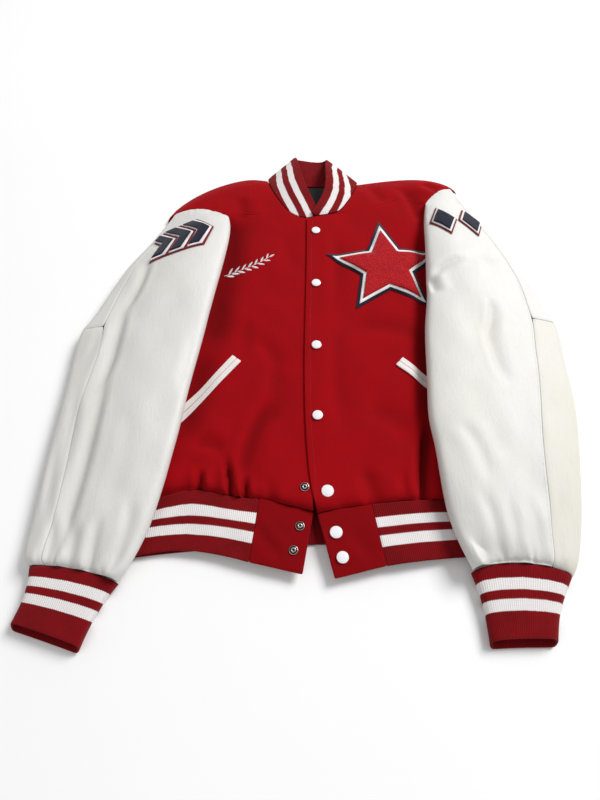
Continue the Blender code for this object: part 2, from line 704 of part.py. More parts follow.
def column_grid(columns, rows=5, swell=HEM_SWELL):
    """Grid from a list of (top, foot) columns, swelling a little between them when off the floor."""
    grid = []
    for i in range(rows):
        share = i / (rows - 1)
        line = []
        for top, foot in columns:
            point = top.lerp(foot, share)
            lifted = swell * math.sin(math.pi * share) * ease((point.z - 2) / 6)
            line.append(point + Vector((0, 0, lifted)))
        grid.append(line)
    return grid


def build_collar(body):
    """Collar band: from the right front round the back to the left front."""
    stations = []
    for neck, top in zip(neck_line(RIGHT_NECK[1:], -1), RIGHT_COLLAR_TOP):
        stations.append(collar_station(body, neck, top, 0.0))
    for row in COLLAR_BACK:
        station = dict(zip(COLLAR_BACK_COLUMNS, row))
        stations.append((
            Vector((station["seam_x"], station["seam_y"], station["seam_z"])),
            Vector((station["top_x"], station["top_y"], station["top_z"])),
        ))
    for neck, top in reversed(list(zip(neck_line(LEFT_NECK, 1), LEFT_COLLAR_TOP))):
        stations.append(collar_station(body, neck, top, LAP_LIFT))
    grid = []
    for seam, top in stations:
        line = []
        for share in (0, 0.25, 0.5, 0.75, 1.0):
            point = seam.lerp(top, share)
            lifted = COLLAR_SWELL * math.sin(math.pi * share) * ease((point.z - 6) / 8)
            line.append(point + Vector((0, 0, lifted)))
        grid.append(line)
    inner = inner_layer(grid, RIB, 1)
    return cloth("collar", grid, inner, "rib")


def neck_line(neck, toward):
    """The collar's seam line: the neck line of a front, moved in by the seam gap."""
    return beside([row[:2] for row in neck], toward * 3 * SEAM)


def collar_station(body, neck, top, lap):
    """Seam point and top point of one collar row on a front."""
    lift = body.lap(*neck) if lap else 0.0
    rise = max(body.height(*neck) + lift + RIB_PROUD, WOOL + RIB + 2 * SEAM)
    spot = dict(zip(COLLAR_TOP_COLUMNS, top))
    return Vector((neck[0], neck[1], rise)), Vector((spot["x"], spot["y"], spot["z"]))


def foot_line(feet, corner):
    """Back armhole edge of the back panel: the sleeve's seam moved in, and more at its shoulder corner."""
    plan = [(p[0], p[1]) for p in feet]
    line = beside(plan, 2 * SEAM)
    line[corner] = beside(plan, 6 * SEAM)[corner]
    return line


def build_back(body, sleeve_feet, back_hem):
    """Back panel, flat on the floor, up to the seams of everything round it."""
    outline = [(b["x"], b["top_y"] + SEAM) for b in back_hem]
    left_edge = [line[-1] for line in body.plans["left"][1:UNDERARM_ROW + 1]]
    right_edge = [line[-1] for line in body.plans["right"][1:UNDERARM_ROW + 1]]
    outline += [(p.x, p.y) for p in left_edge]
    outline += foot_line(list(reversed(sleeve_feet["left"])), -1)
    outline += [(p.x, p.y) for p in reversed(body.plans["left"][-1][1:-1])]
    drops = [4.0] + [SEAM + 0.2] * (len(COLLAR_BACK) - 4) + [4.0]
    outline += [(row[0], row[1] - drop) for row, drop in reversed(list(zip(COLLAR_BACK[1:-1], drops)))]
    outline += [(p.x, p.y) for p in body.plans["right"][-1][1:-1]]
    outline += foot_line(sleeve_feet["right"], 0)
    outline += [(p.x, p.y) for p in reversed(right_edge)]
    return flat_piece("back_panel", outline, 0.0, WOOL, "wool")


# ------------------------------------------------------------------------- what lies on the cloth
def convex_piece(panel, corners):
    """The part of a panel's outer face inside a convex outline."""
    patch = bmesh.new()
    patch.from_mesh(panel.data)
    bmesh.ops.scale(patch, vec=(1 / MM,) * 3, verts=patch.verts)
    patch.normal_update()
    patch.faces.ensure_lookup_table()
    middle = Vector((sum(c[0] for c in corners) / len(corners), sum(c[1] for c in corners) / len(corners), 0))
    hidden = [face for face in patch.faces if face.normal.z < 0.15]
    bmesh.ops.delete(patch, geom=hidden, context="FACES")
    for start, end in zip(corners, list(corners[1:]) + [corners[0]]):
        away = Vector((end[1] - start[1], start[0] - end[0], 0))
        if away.dot(middle - Vector((start[0], start[1], 0))) > 0:
            away = -away
        bmesh.ops.bisect_plane(
            patch, geom=patch.verts[:] + patch.edges[:] + patch.faces[:], dist=1e-4,
            plane_co=(start[0], start[1], 0), plane_no=away, clear_outer=True,
        )
    return patch


def keep_top_layer(patch):
    """Drop the faces of any lower layer of the cloth under the patch."""
    tops = BVHTree.FromBMesh(patch)
    low = []
    for face in patch.faces:
        centre = face.calc_center_median()
        hit = tops.ray_cast(Vector((centre.x, centre.y, 400)), Vector((0, 0, -1)))[0]
        if hit and hit.z - centre.z > 0.5:
            low.append(face)
    bmesh.ops.delete(patch, geom=low, context="FACES")


def laid_on(name, panel, outlines, lift, thickness, kind):
    """One appliqué made of convex outlines that share edges, on a panel's own facets."""
    whole = bmesh.new()
    for corners in outlines:
        patch = convex_piece(panel, corners)
        keep_top_layer(patch)
        scratch = bpy.data.meshes.new("scratch")
        patch.to_mesh(scratch)
        patch.free()
        whole.from_mesh(scratch)
        bpy.data.meshes.remove(scratch)
    bmesh.ops.remove_doubles(whole, verts=whole.verts, dist=0.02)
    bmesh.ops.dissolve_degenerate(whole, edges=whole.edges, dist=0.02)
    whole.normal_update()
    shift = whole.verts.layers.float_vector.new("shift")
    for corner in whole.verts:
        corner[shift] = corner.normal * thickness
        corner.co += corner.normal * lift
    grown = bmesh.ops.extrude_face_region(whole, geom=whole.faces[:])
    for item in grown["geom"]:
        if isinstance(item, bmesh.types.BMVert):
            item.co += item[shift]
    return add_object(name, whole, kind)


def star_kites(centre, radius, waist, turn, margin):
    """Five kites that make a star, its outline moved out by a margin."""
    step = math.pi / 5
    inner = radius * waist
    # distance from the centre to a side of the star, from its outer point and inner corner
    side = radius * inner * math.sin(step) / math.hypot(radius - inner * math.cos(step), inner * math.sin(step))
    grow = 1 + margin / side
    kites = []
    for k in range(5):
        points = [centre]
        for offset, reach in ((-1, inner), (0, radius), (1, inner)):
            angle = math.pi / 2 + turn + (2 * k + offset) * step
            points.append((centre[0] + reach * grow * math.cos(angle), centre[1] + reach * grow * math.sin(angle)))
        kites.append(points)
    return kites


def placed(points, centre, turn):
    """Points turned and moved to a place."""
    cosine, sine = math.cos(turn), math.sin(turn)
    return [(centre[0] + x * cosine - y * sine, centre[1] + x * sine + y * cosine) for x, y in points]


def chevron(centre, turn, slot, bar, margin):
    """Two slanting bars that meet on the badge's axis."""
    half = CHEVRON_LENGTH + margin
    middle = slot * CHEVRON_PITCH
    bars = []
    for sign in (1, -1):
        corners = [
            (middle + bar, 0), (middle - bar, 0),
            (middle - bar - CHEVRON_RISE, sign * half), (middle + bar - CHEVRON_RISE, sign * half),
        ]
        bars.append(placed(corners, centre, turn))
    return bars


def lozenge(centre, turn, margin):
    half_x, half_y = LOZENGE_HALF
    grow = 1 + margin * math.hypot(half_x, half_y) / (half_x * half_y)
    return placed([(half_x * grow, 0), (0, half_y * grow), (-half_x * grow, 0), (0, -half_y * grow)], centre, turn)


def build_welts(side, front):
    """Upper and lower leather strip of one slant pocket."""
    pocket = POCKETS[side]
    way = Vector(pocket["way"]).normalized()
    across = Vector((-way.y, way.x)) * pocket["outer_side"]
    made = []
    for label, sign in (("upper", 1), ("lower", -1)):
        near, far = 0.15 + SEAM / 2, WELT_WIDTH
        start = Vector(pocket["top"])
        corners = [
            start + across * sign * near, start + across * sign * far,
            start + across * sign * far + way * WELT_LENGTH, start + across * sign * near + way * WELT_LENGTH,
        ]
        corners = [(c.x, c.y) for c in corners]
        made.append(laid_on(f"{side}_pocket_{label}_welt", front, [corners], PATCH_LIFT, WELT_THICK, "leather"))
    return made


def turned_piece(name, profile, spot, normal, kind, steps=18):
    """A piece turned from a profile of (radius, height), standing on a cloth along its normal."""
    turned = bmesh.new()
    chain = [turned.verts.new((radius, 0, height)) for radius, height in profile]
    edges = [turned.edges.new(pair) for pair in zip(chain, chain[1:])]
    bmesh.ops.spin(
        turned, geom=chain + edges, cent=(0, 0, 0), axis=(0, 0, 1), dvec=(0, 0, 0),
        angle=2 * math.pi, steps=steps, use_merge=True, use_duplicate=False,
    )
    bmesh.ops.remove_doubles(turned, verts=turned.verts, dist=1e-3)
    turn = Vector((0, 0, 1)).rotation_difference(normal).to_matrix().to_4x4()
    bmesh.ops.transform(turned, matrix=turn, verts=turned.verts)
    bmesh.ops.translate(turned, vec=spot, verts=turned.verts)
    return add_object(name, turned, kind)


def seat(surface, x, y, radius):
    """Place and normal of a small round piece on the cloth."""
    low = surface.tree.ray_cast(Vector((x, y, 400)), Vector((0, 0, -1)))[0]
    samples = [surface.height(x + dx * radius, y + dy * radius) for dx, dy in ((1, 0), (-1, 0), (0, 1), (0, -1))]
    normal = Vector(((samples[1] - samples[0]) / (2 * radius), (samples[3] - samples[2]) / (2 * radius), 1)).normalized()
    bulge = max(low.z, sum(samples) / 4)
    return Vector((x, y, bulge)) + normal * SNAP_SEAT, normal


def build_snaps(surface):
    made = []
    for number, row in enumerate(SNAP_CAPS, 1):
        snap = dict(zip(SNAP_COLUMNS, row))
        reach = snap["radius"]
        profile = [(0, 0), (reach * 0.94, 0), (reach, SNAP_HEIGHT * 0.22)]
        for k in range(1, 5):
            angle = math.radians(22.5 * k)
            profile.append((reach * math.cos(angle), SNAP_HEIGHT * (0.22 + 0.78 * math.sin(angle))))
        profile[-1] = (0, SNAP_HEIGHT)
        spot, normal = seat(surface, snap["x"], snap["y"], reach)
        made.append(turned_piece(f"snap_cap_{number}", profile, spot, normal, "enamel"))
    for number, row in enumerate(SNAP_STUDS, 1):
        stud = dict(zip(SNAP_COLUMNS, row))
        reach = stud["radius"]
        profile = [
            (0, 0), (reach, 0), (reach, STUD_HEIGHT * 0.3), (reach * 0.72, STUD_HEIGHT * 0.45),
            (reach * 0.6, STUD_HEIGHT), (reach * 0.42, STUD_HEIGHT), (reach * 0.36, STUD_HEIGHT * 0.5),
            (0, STUD_HEIGHT * 0.5),
        ]
        spot, normal = seat(surface, stud["x"], stud["y"], reach)
        made.append(turned_piece(f"snap_stud_{number}", profile, spot, normal, "nickel"))
    return made


def build_star(front):
    """Three layers of the chest patch."""
    kinds = {"backing": "navy", "outline": "felt_white", "face": "chenille"}
    made, lift = [], PATCH_LIFT
    for label, margin, thickness in PATCH_LAYERS:
        kites = star_kites(STAR_CENTRE, STAR_RADIUS, STAR_WAIST, STAR_TURN, margin)
        made.append(laid_on(f"chest_star_{label}", front, kites, lift, thickness, kinds[label]))
        lift += thickness + PATCH_GAP
    return made


def build_badges(tops):
    """Chevron badge on the right sleeve, two lozenges on the left one."""
    kinds = {"backing": "felt_red", "outline": "felt_white", "face": "navy"}
    shift = LOZENGE_PITCH / 2
    spots = placed([(-shift, 0), (shift, 0)], LEFT_BADGE_CENTRE, LEFT_BADGE_TURN)
    made, lift = [], PATCH_LIFT
    for label, margin, thickness in PATCH_LAYERS:
        if label == "backing":
            bars = chevron(RIGHT_BADGE_CENTRE, RIGHT_BADGE_TURN, 0, CHEVRON_PITCH * 1.5, margin * 0.7)
            made.append(laid_on("right_badge_backing", tops["right"], bars, lift, thickness, kinds[label]))
        else:
            for number, slot in enumerate((-1, 0, 1), 1):
                bars = chevron(RIGHT_BADGE_CENTRE, RIGHT_BADGE_TURN, slot, CHEVRON_BAR + margin * 0.75, margin * 0.7)
                name = f"right_badge_chevron_{number}_{label}"
                made.append(laid_on(name, tops["right"], bars, lift, thickness, kinds[label]))
        for place, spot in zip(("inner", "outer"), spots):
            outline = lozenge(spot, LEFT_BADGE_TURN, margin * 0.6)
            name = f"left_badge_{place}_{label}"
            made.append(laid_on(name, tops["left"], [outline], lift, thickness, kinds[label]))
        lift += thickness + PATCH_GAP
    return made


# ----------------------------------------------------------------------------------------- cuffs
def build_cuff(side):
    """Tube of rib knit, open at its mouth."""
    table = RIGHT_CUFF_ROWS if side == "right" else LEFT_CUFF_ROWS
    grid = []
    for index, values in enumerate(table):
        row = dict(zip(CUFF_COLUMNS, values))
        start, end = Vector((row["in_x"], row["in_y"])), Vector((row["out_x"], row["out_y"]))
        width = (end - start).length
        across = (end - start) / width
        up = Vector((-across.y, across.x)) * (1 if across.x > 0 else -1)
        radius = row["radius"]
        share_down = index / (len(table) - 1)
        shift = -MOUTH_SHIFT * share_down ** 2
        line = []
        reaches = [(radius * (1 - math.cos(math.radians(a))), math.sin(math.radians(a))) for a in (-90, -45, 0, 45, 90)]
        top = [(blend(radius, width - radius, k / 6), 1 + 0.12 * math.sin(math.pi * k / 6)) for k in range(1, 6)]
        outer = [(width - reach, rise) for reach, rise in reversed(reaches)]
        under = [(blend(width - radius, radius, k / 6), -1.0) for k in range(1, 6)]
        for reach, rise in reaches + top + outer + under:
            spot = start + across * reach + up * row["bow"] * arch(reach / width, 1.0, 0.6) * (0.5 + 0.5 * max(rise, 0))
            spot += up * (shift if rise < 0 else shift * 0.2 * (1 - abs(min(rise, 1))))
            line.append(Vector((spot.x, spot.y, radius * (1 + rise))))
        line.append(line[0].copy())
        grid.append(line)
    normals = ring_normals(grid, 1 if side == "right" else -1)
    inner = [[p - n * RIB for p, n in zip(*lines)] for lines in zip(grid, normals)]
    return cloth(f"{side}_cuff", grid, inner, "rib", closed=True)


def ring_normals(grid, side):
    """Normals of a grid whose first and last columns are the same."""
    rows, columns = len(grid), len(grid[0])
    normals = []
    for i in range(rows):
        line = []
        for j in range(columns - 1):
            down = grid[min(i + 1, rows - 1)][j] - grid[max(i - 1, 0)][j]
            across = grid[i][j + 1] - grid[i][j - 1 if j else columns - 2]
            line.append(across.cross(down).normalized() * side)
        line.append(line[0].copy())
        normals.append(line)
    return normals


def body_edge_reaches(sleeve, body):
    """Distance from a sleeve's inner edge to the side of the body or hem, along each row."""
    side = sleeve.side
    edge = [line[-1] for line in body.plans[side]]
    foot = Vector((RIGHT_HEM_FOOT if side == "right" else LEFT_HEM_FOOT)[-1])
    edge = [foot] + edge
    reaches = []
    for row in sleeve.rows:
        width = sleeve.width(row)
        found = reaches[-1] if reaches else width * 0.55
        start, end = Vector((row["in_x"], row["in_y"])), Vector((row["out_x"], row["out_y"]))
        for low, high in zip(edge, edge[1:]):
            cut = cross_share(start, end, low, high)
            if cut is not None:
                found = cut * width
        reaches.append(found)
    return reaches


def cross_share(start, end, low, high):
    """Share along start-end where it crosses low-high, or None."""
    way, other, gap = end - start, high - low, low - start
    turn = way.x * other.y - way.y * other.x
    if abs(turn) < 1e-9:
        return None
    share = (gap.x * other.y - gap.y * other.x) / turn
    beside = (gap.x * way.y - gap.y * way.x) / turn
    return share if 0 <= share <= 1 and -0.02 <= beside <= 1.02 else None


def centre_on_origin(objects):
    """Move everything so that the middle of the jacket's box stands on the origin."""
    corners = [item.matrix_world @ v.co for item in objects for v in item.data.vertices]
    middle = [(min(c[k] for c in corners) + max(c[k] for c in corners)) / 2 for k in range(2)]
    low = min(c.z for c in corners)
    for item in objects:
        for vertex in item.data.vertices:
            vertex.co -= Vector((middle[0], middle[1], low))


def main():
    for item in list(bpy.data.objects):
        bpy.data.objects.remove(item, do_unlink=True)
    sleeves = {side: Sleeve(side) for side in ("right", "left")}
    body = Body(sleeves)
    right_front, right_grid = body.build_front("right")
    left_front, left_grid = body.build_front("left")
    collar = build_collar(body)
    hem, back_hem = build_hem(body, {"right": right_grid, "left": left_grid})
    welts = build_welts("right", right_front) + build_welts("left", left_front)
    star = build_star(left_front)
    below = Surface([right_front, left_front, *hem, *welts, *star])
    snaps = build_snaps(below)
    tops, feet, pieces = {}, {}, []
    for side, sleeve in sleeves.items():
        made = sleeve.build(below, body_edge_reaches(sleeve, body))
        tops[side] = made[0]
        pieces += made
        feet[side] = [sleeve.section(i, below, 0)[-1] for i in range(UNDERARM_ROW)]
        pieces.append(build_cuff(side))
    badges = build_badges(tops)
    back = build_back(body, feet, back_hem)
    lining_edge = [(row[0], row[1] - 2.0) for row in COLLAR_BACK[2:-2]]
    lining = flat_piece("neck_lining", lining_edge + [(52, 262), (-56, 262)], WOOL + SEAM, LINING, "lining")
    everything = [right_front, left_front, collar, *hem, *welts, *star, *snaps, *pieces, *badges, back, lining]
    centre_on_origin(everything)


main()
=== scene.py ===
"""The looks of a varsity jacket that lies flat on its back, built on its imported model.

Lengths in the tables are millimetres of the pattern, in which the third snap cap stands at (-1, 5);
everything else is in metres.
"""

import json
import logging
import math
from dataclasses import dataclass, field
from enum import Enum

import bmesh
import bpy
import numpy as np
from mathutils import Matrix, Vector
from mathutils.bvhtree import BVHTree
from mathutils.kdtree import KDTree

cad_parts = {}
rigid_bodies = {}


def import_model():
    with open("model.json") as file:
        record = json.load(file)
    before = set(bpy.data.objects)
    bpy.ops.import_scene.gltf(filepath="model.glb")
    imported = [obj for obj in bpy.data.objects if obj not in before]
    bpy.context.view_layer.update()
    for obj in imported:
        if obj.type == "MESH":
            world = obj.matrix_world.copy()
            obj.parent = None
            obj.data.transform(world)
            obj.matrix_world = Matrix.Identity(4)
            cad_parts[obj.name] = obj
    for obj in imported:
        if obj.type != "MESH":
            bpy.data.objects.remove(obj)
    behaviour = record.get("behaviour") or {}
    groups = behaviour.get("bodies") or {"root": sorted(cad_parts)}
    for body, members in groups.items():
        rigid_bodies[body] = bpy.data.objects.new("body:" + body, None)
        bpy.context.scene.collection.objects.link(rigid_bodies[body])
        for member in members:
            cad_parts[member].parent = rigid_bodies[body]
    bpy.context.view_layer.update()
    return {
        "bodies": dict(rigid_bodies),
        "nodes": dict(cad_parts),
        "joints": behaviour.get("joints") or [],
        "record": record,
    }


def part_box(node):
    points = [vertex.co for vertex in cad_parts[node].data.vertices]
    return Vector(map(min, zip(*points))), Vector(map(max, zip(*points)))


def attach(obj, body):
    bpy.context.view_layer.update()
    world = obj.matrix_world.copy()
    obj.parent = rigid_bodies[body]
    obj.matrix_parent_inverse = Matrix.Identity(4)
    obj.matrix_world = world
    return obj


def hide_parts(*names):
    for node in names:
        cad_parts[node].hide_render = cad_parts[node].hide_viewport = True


LOG = logging.getLogger("varsity_jacket")
MM = 0.001
THIRD_CAP = (-1.0, 5.0)
Triple = tuple[float, float, float]
Colour = Triple
Spot = tuple[float, float]
Line = tuple[Spot, ...]
Rung = tuple[Vector, Vector]
Array = np.ndarray
Form = bmesh.types.BMesh
Mesh = bpy.types.Mesh
Piece = bpy.types.Object
Socket = bpy.types.NodeSocket
Feed = Socket | float | tuple[float, ...]


# ------------------------------------------------------------------------------------ named options
class Hold(Enum):
    """How a sheet of cloth is held."""

    LAID = "laid"
    FOLDED = "folded"


class Slot(Enum):
    """Material slots of the record."""

    WOOL = "wool"
    RIB = "rib"
    LEATHER = "leather"
    ENAMEL = "enamel"
    NICKEL = "nickel"
    LINING = "lining"
    CHENILLE = "chenille"
    NAVY = "felt_navy"
    WHITE = "felt_white"
    RED = "felt_red"


class Side(Enum):
    """The wearer's right and left."""

    RIGHT = "right"
    LEFT = "left"


# ----------------------------------------------------------------------------------- small helpers
def smooth(value: Array) -> Array:
    """Smooth step from 0 to 1, for arrays."""
    value = np.clip(value, 0.0, 1.0)
    return value * value * (3 - 2 * value)


def blend(low: float, high: float, share: float) -> float:
    """Value at a share of the way between two."""
    return low + (high - low) * share


def between(start: Spot, end: Spot, share: float) -> Spot:
    """Place at a share of the way between two."""
    return blend(start[0], end[0], share), blend(start[1], end[1], share)


def rows_of(mesh: Mesh, name: str) -> Array:
    """A vector of each vertex of a mesh, one row each.

    Args:
        mesh: the mesh.
        name: "co" for positions or "normal" for normals.

    Returns:
        The rows.
    """
    values = np.empty(len(mesh.vertices) * 3, np.float32)
    mesh.vertices.foreach_get(name, values)
    return values.reshape(-1, 3).astype(float)


def set_vertices(mesh: Mesh, places: Array) -> None:
    """Move a mesh's vertices to these positions."""
    mesh.vertices.foreach_set("co", places.astype(np.float32).ravel())
    mesh.update()


def set_attribute(mesh: Mesh, name: str, values: Array) -> None:
    """Store one number for each vertex."""
    layer = mesh.attributes.new(name, "FLOAT", "POINT")
    layer.data.foreach_set("value", values.astype(np.float32))


def mesh_of(name: str, shape: Form) -> Mesh:
    """Write a form to a new mesh, which uses the form up.

    Args:
        name: name of the new one.
        shape: the form.

    Returns:
        The mesh.
    """
    mesh = bpy.data.meshes.new(name)
    shape.to_mesh(mesh)
    shape.free()
    return mesh


def shade_smooth(mesh: Mesh) -> None:
    """Shade every face of a mesh smooth."""
    mesh.polygons.foreach_set("use_smooth", [True] * len(mesh.polygons))


def polyline_length(spots: Line) -> float:
    """Length of a polyline."""
    return sum(math.dist(start, end) for start, end in zip(spots, spots[1:]))


def polyline_reach(spots: Line, x: Array, y: Array) -> tuple[Array, Array]:
    """How far along a polyline, and how far from it, each place lies.

    Args:
        spots: corners of the line.
        x: the places' x, in pattern millimetres.
        y: the places' y, in pattern millimetres.

    Returns:
        Length along the line to the nearest point, and the distance from it, positive on its left.
    """
    best = np.full(x.shape, np.inf)
    along = np.zeros(x.shape)
    signed = np.zeros(x.shape)
    done = 0.0
    for start, end in zip(spots, spots[1:]):
        run_x, run_y = end[0] - start[0], end[1] - start[1]
        length = math.hypot(run_x, run_y)
        share = ((x - start[0]) * run_x + (y - start[1]) * run_y) / length ** 2
        share = np.clip(share, 0.0, 1.0)
        off_x, off_y = x - start[0] - share * run_x, y - start[1] - share * run_y
        away = np.hypot(off_x, off_y)
        nearer = away < best
        best = np.where(nearer, away, best)
        along = np.where(nearer, done + share * length, along)
        side = np.sign(run_x * off_y - run_y * off_x)
        signed = np.where(nearer, away * side, signed)
        done += length
    return along, signed


# ---------------------------------------------------------------------------------- pattern's place
@dataclass(frozen=True)
class Pattern:
    """Where the pattern's millimetres lie in the model's frame."""

    origin_x: float
    origin_y: float

    @classmethod
    def found(cls) -> "Pattern":
        """Find the pattern's origin from the third snap cap."""
        low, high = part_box("snap_cap_3")
        return cls((low.x + high.x) / 2 - THIRD_CAP[0] * MM,
                   (low.y + high.y) / 2 - THIRD_CAP[1] * MM)

    def millimetres(self, places: Array) -> Array:
        """Model positions as pattern millimetres."""
        return (places - (self.origin_x, self.origin_y, 0.0)) / MM

    def metres(self, places: Array) -> Array:
        """Pattern millimetres as model positions."""
        return places * MM + (self.origin_x, self.origin_y, 0.0)

    def point(self, x: float, y: float, z: float) -> Vector:
        """One pattern place as a model position."""
        return Vector((self.origin_x + x * MM, self.origin_y + y * MM, z * MM))


# -------------------------------------------------------------------------------------- node graphs
MIX_INPUTS = (0, 6, 7)  # the share and the two colours of a colour mix
MIX_OUTPUT = 2


class Graph:
    """Writes one node material, a node at a time."""

    def __init__(self, name: str) -> None:
        """Start a material with a plain shader.

        Args:
            name: name of the material.
        """
        self.material = bpy.data.materials.new(name)
        self.material.use_nodes = True
        self.nodes = self.material.node_tree.nodes
        self.links = self.material.node_tree.links
        self.shader = self.nodes["Principled BSDF"]

    def feed(self, socket: Socket, value: Feed) -> None:
        """Link a socket, or set its value.

        Args:
            socket: input to fill.
            value: value or link.
        """
        if isinstance(value, Socket):
            self.links.new(value, socket)
        elif isinstance(value, tuple) and len(value) == 3 and socket.type == "RGBA":
            socket.default_value = (*value, 1.0)
        else:
            socket.default_value = value

    def set(self, **values: Feed) -> None:
        """Set or link the shader's inputs, written with underscores."""
        for name, value in values.items():
            self.feed(self.shader.inputs[name.replace("_", " ")], value)

    def node(self, kind: str, output: str | int, inputs: dict[str | int, Feed],
             **options: str | bool) -> Socket:
        """Add a node and fill its inputs.

        Args:
            kind: kind of node.
            output: name or number of the output that is wanted.
            inputs: value or link of each input.
            options: settings of the node.

        Returns:
            The output.
        """
        node = self.nodes.new(f"ShaderNode{kind}")
        for name, value in options.items():
            setattr(node, name, value)
        for name, value in inputs.items():
            self.feed(node.inputs[name], value)
        return node.outputs[output]

    def place(self) -> Socket:
        """Position on the object, in metres."""
        return self.node("TexCoord", "Object", {})

    def attribute(self, name: str) -> Socket:
        """A number stored on the mesh."""
        return self.node("Attribute", "Fac", {}, attribute_name=name)

    def stretched(self, scale: Triple, turn: float) -> Socket:
        """Position with its own scale on each axis, turned about the vertical."""
        return self.node("Mapping", "Vector", {"Vector": self.place(), "Scale": scale,
                                               "Rotation": (0.0, 0.0, turn)})

    def noise(self, scale: float, detail: float = 3.0, rough: float = 0.55,
              vector: Socket | None = None, bend: float = 0.0) -> Socket:
        """Soft noise from 0 to 1.

        Args:
            scale: fineness, per metre.
            detail: number of finer layers.
            rough: strength of the finer layers.
            vector: place to read it at, or none for the object's own.
            bend: how much it wanders.

        Returns:
            The noise.
        """
        inputs = {"Vector": vector or self.place(), "Scale": scale, "Detail": detail,
                  "Roughness": rough, "Distortion": bend}
        return self.node("TexNoise", "Fac", inputs)

    def cells(self, scale: float, edges: bool = False) -> Socket:
        """Distance to the nearest cell point, or to the nearest border between cells."""
        return self.node("TexVoronoi", "Distance", {"Vector": self.place(), "Scale": scale},
                         feature="DISTANCE_TO_EDGE" if edges else "F1")

    def maths(self, operation: str, first: Feed, second: Feed = 0.0, clamp: bool = False) -> Socket:
        """One sum on numbers."""
        return self.node("Math", 0, {0: first, 1: second}, operation=operation, use_clamp=clamp)

    def scaled(self, value: Feed, share: Feed) -> Socket:
        """A number times a share."""
        return self.maths("MULTIPLY", value, share)

    def added(self, first: Feed, second: Feed, share: float) -> Socket:
        """A number and a share of another."""
        return self.maths("ADD", first, self.scaled(second, share))

    def fit(self, value: Feed, low: float, high: float, to_low: float = 0.0,
            to_high: float = 1.0, soft: bool = False) -> Socket:
        """A number moved from one range to another."""
        ranges = {"From Min": low, "From Max": high, "To Min": to_low, "To Max": to_high}
        return self.node("MapRange", "Result", {"Value": value, **ranges},
                         interpolation_type="SMOOTHSTEP" if soft else "LINEAR")

    def mix(self, share: Feed, first: Feed, second: Feed, kind: str = "MIX") -> Socket:
        """Mix of two colours."""
        inputs = dict(zip(MIX_INPUTS, (share, first, second)))
        return self.node("Mix", MIX_OUTPUT, inputs, data_type="RGBA", blend_type=kind)

    def bump(self, height: Feed, distance: float, strength: float,
             below: Socket | None = None) -> Socket:
        """Relief of so many metres, over another relief if one is given."""
        inputs = {"Height": height, "Distance": distance, "Strength": strength}
        return self.node("Bump", "Normal", inputs | ({"Normal": below} if below else {}))

    def veil(self, base: Feed, source: Socket, clear: float, full: float, amount: float,
             colour: Colour) -> Socket:
        """Lay a colour over a base where a number goes from one value to another.

        Args:
            base: colour below.
            source: number that is read.
            clear: value at which the base shows.
            full: value at which the colour lies at its full amount.
            amount: its full amount, from 0 to 1.
            colour: colour to lay.

        Returns:
            The colour.
        """
        return self.mix(self.fit(source, clear, full, 0.0, amount), base, colour)


# ----------------------------------------------------------------------------------------- finishes
# Scales of noise and cells are per metre. A fit names the range it reads and the range it gives,
# and a bump its height in metres and its strength.
@dataclass(frozen=True)
class Finish:
    """A finish that is made once and shared."""

    name: str
    colour: Colour

    def material(self) -> bpy.types.Material:
        """The material of this finish, which is made when it is first asked for.

        Returns:
            The material.
        """
        made = bpy.data.materials.get(self.name)
        if made is None:
            graph = Graph(self.name)
            self.dress(graph)
            made = graph.material
        return made

    def tint(self, share: float, added: float = 0.0) -> Colour:
        """The colour made darker or lighter."""
        return tuple(min(part * share + added, 1.0) for part in self.colour)

    def dress(self, graph: Graph) -> None:
        """Write the material's nodes."""
        raise NotImplementedError


@dataclass(frozen=True)
class Wool(Finish):
    """Melton wool: matt, with a short brushed nap over a hidden weave, and painted shade in its
    troughs.
    """

    nap: float = 0.16
    sheen: Colour = (1.0, 0.12, 0.14)

    def dress(self, graph: Graph) -> None:
        """Write the material's nodes.

        Args:
            graph: nodes of the material.
        """
        mottle = graph.noise(34.0, 4.0, 0.6)
        brushed = graph.noise(1.0, 3.0, 0.6, graph.stretched((900.0, 330.0, 600.0), 0.35), 0.4)
        fibre = graph.noise(1700.0, 2.0, 0.7)
        base = graph.mix(graph.fit(mottle, 0.34, 0.68), self.tint(0.94), self.tint(1.05))
        base = graph.veil(base, fibre, 0.60, 0.80, 0.30, self.tint(1.30, 0.002))
        base = graph.veil(base, brushed, 0.42, 0.24, 0.30, self.tint(0.55))
        # Painted shade: the wool is darker where it sinks into a trough of its relief.
        base = graph.veil(base, graph.attribute("hollow"), 0.05, 0.9, 0.62, self.tint(0.30))
        height = graph.added(graph.scaled(brushed, 0.7), fibre, 0.5)
        graph.set(Base_Color=base, Roughness=graph.fit(mottle, 0.3, 0.7, 0.88, 0.97),
                  Normal=graph.bump(height, 0.00035, 0.75))
        graph.set(Sheen_Weight=self.nap, Sheen_Roughness=0.45, Sheen_Tint=(*self.sheen, 1.0))
        graph.set(Specular_IOR_Level=0.08)


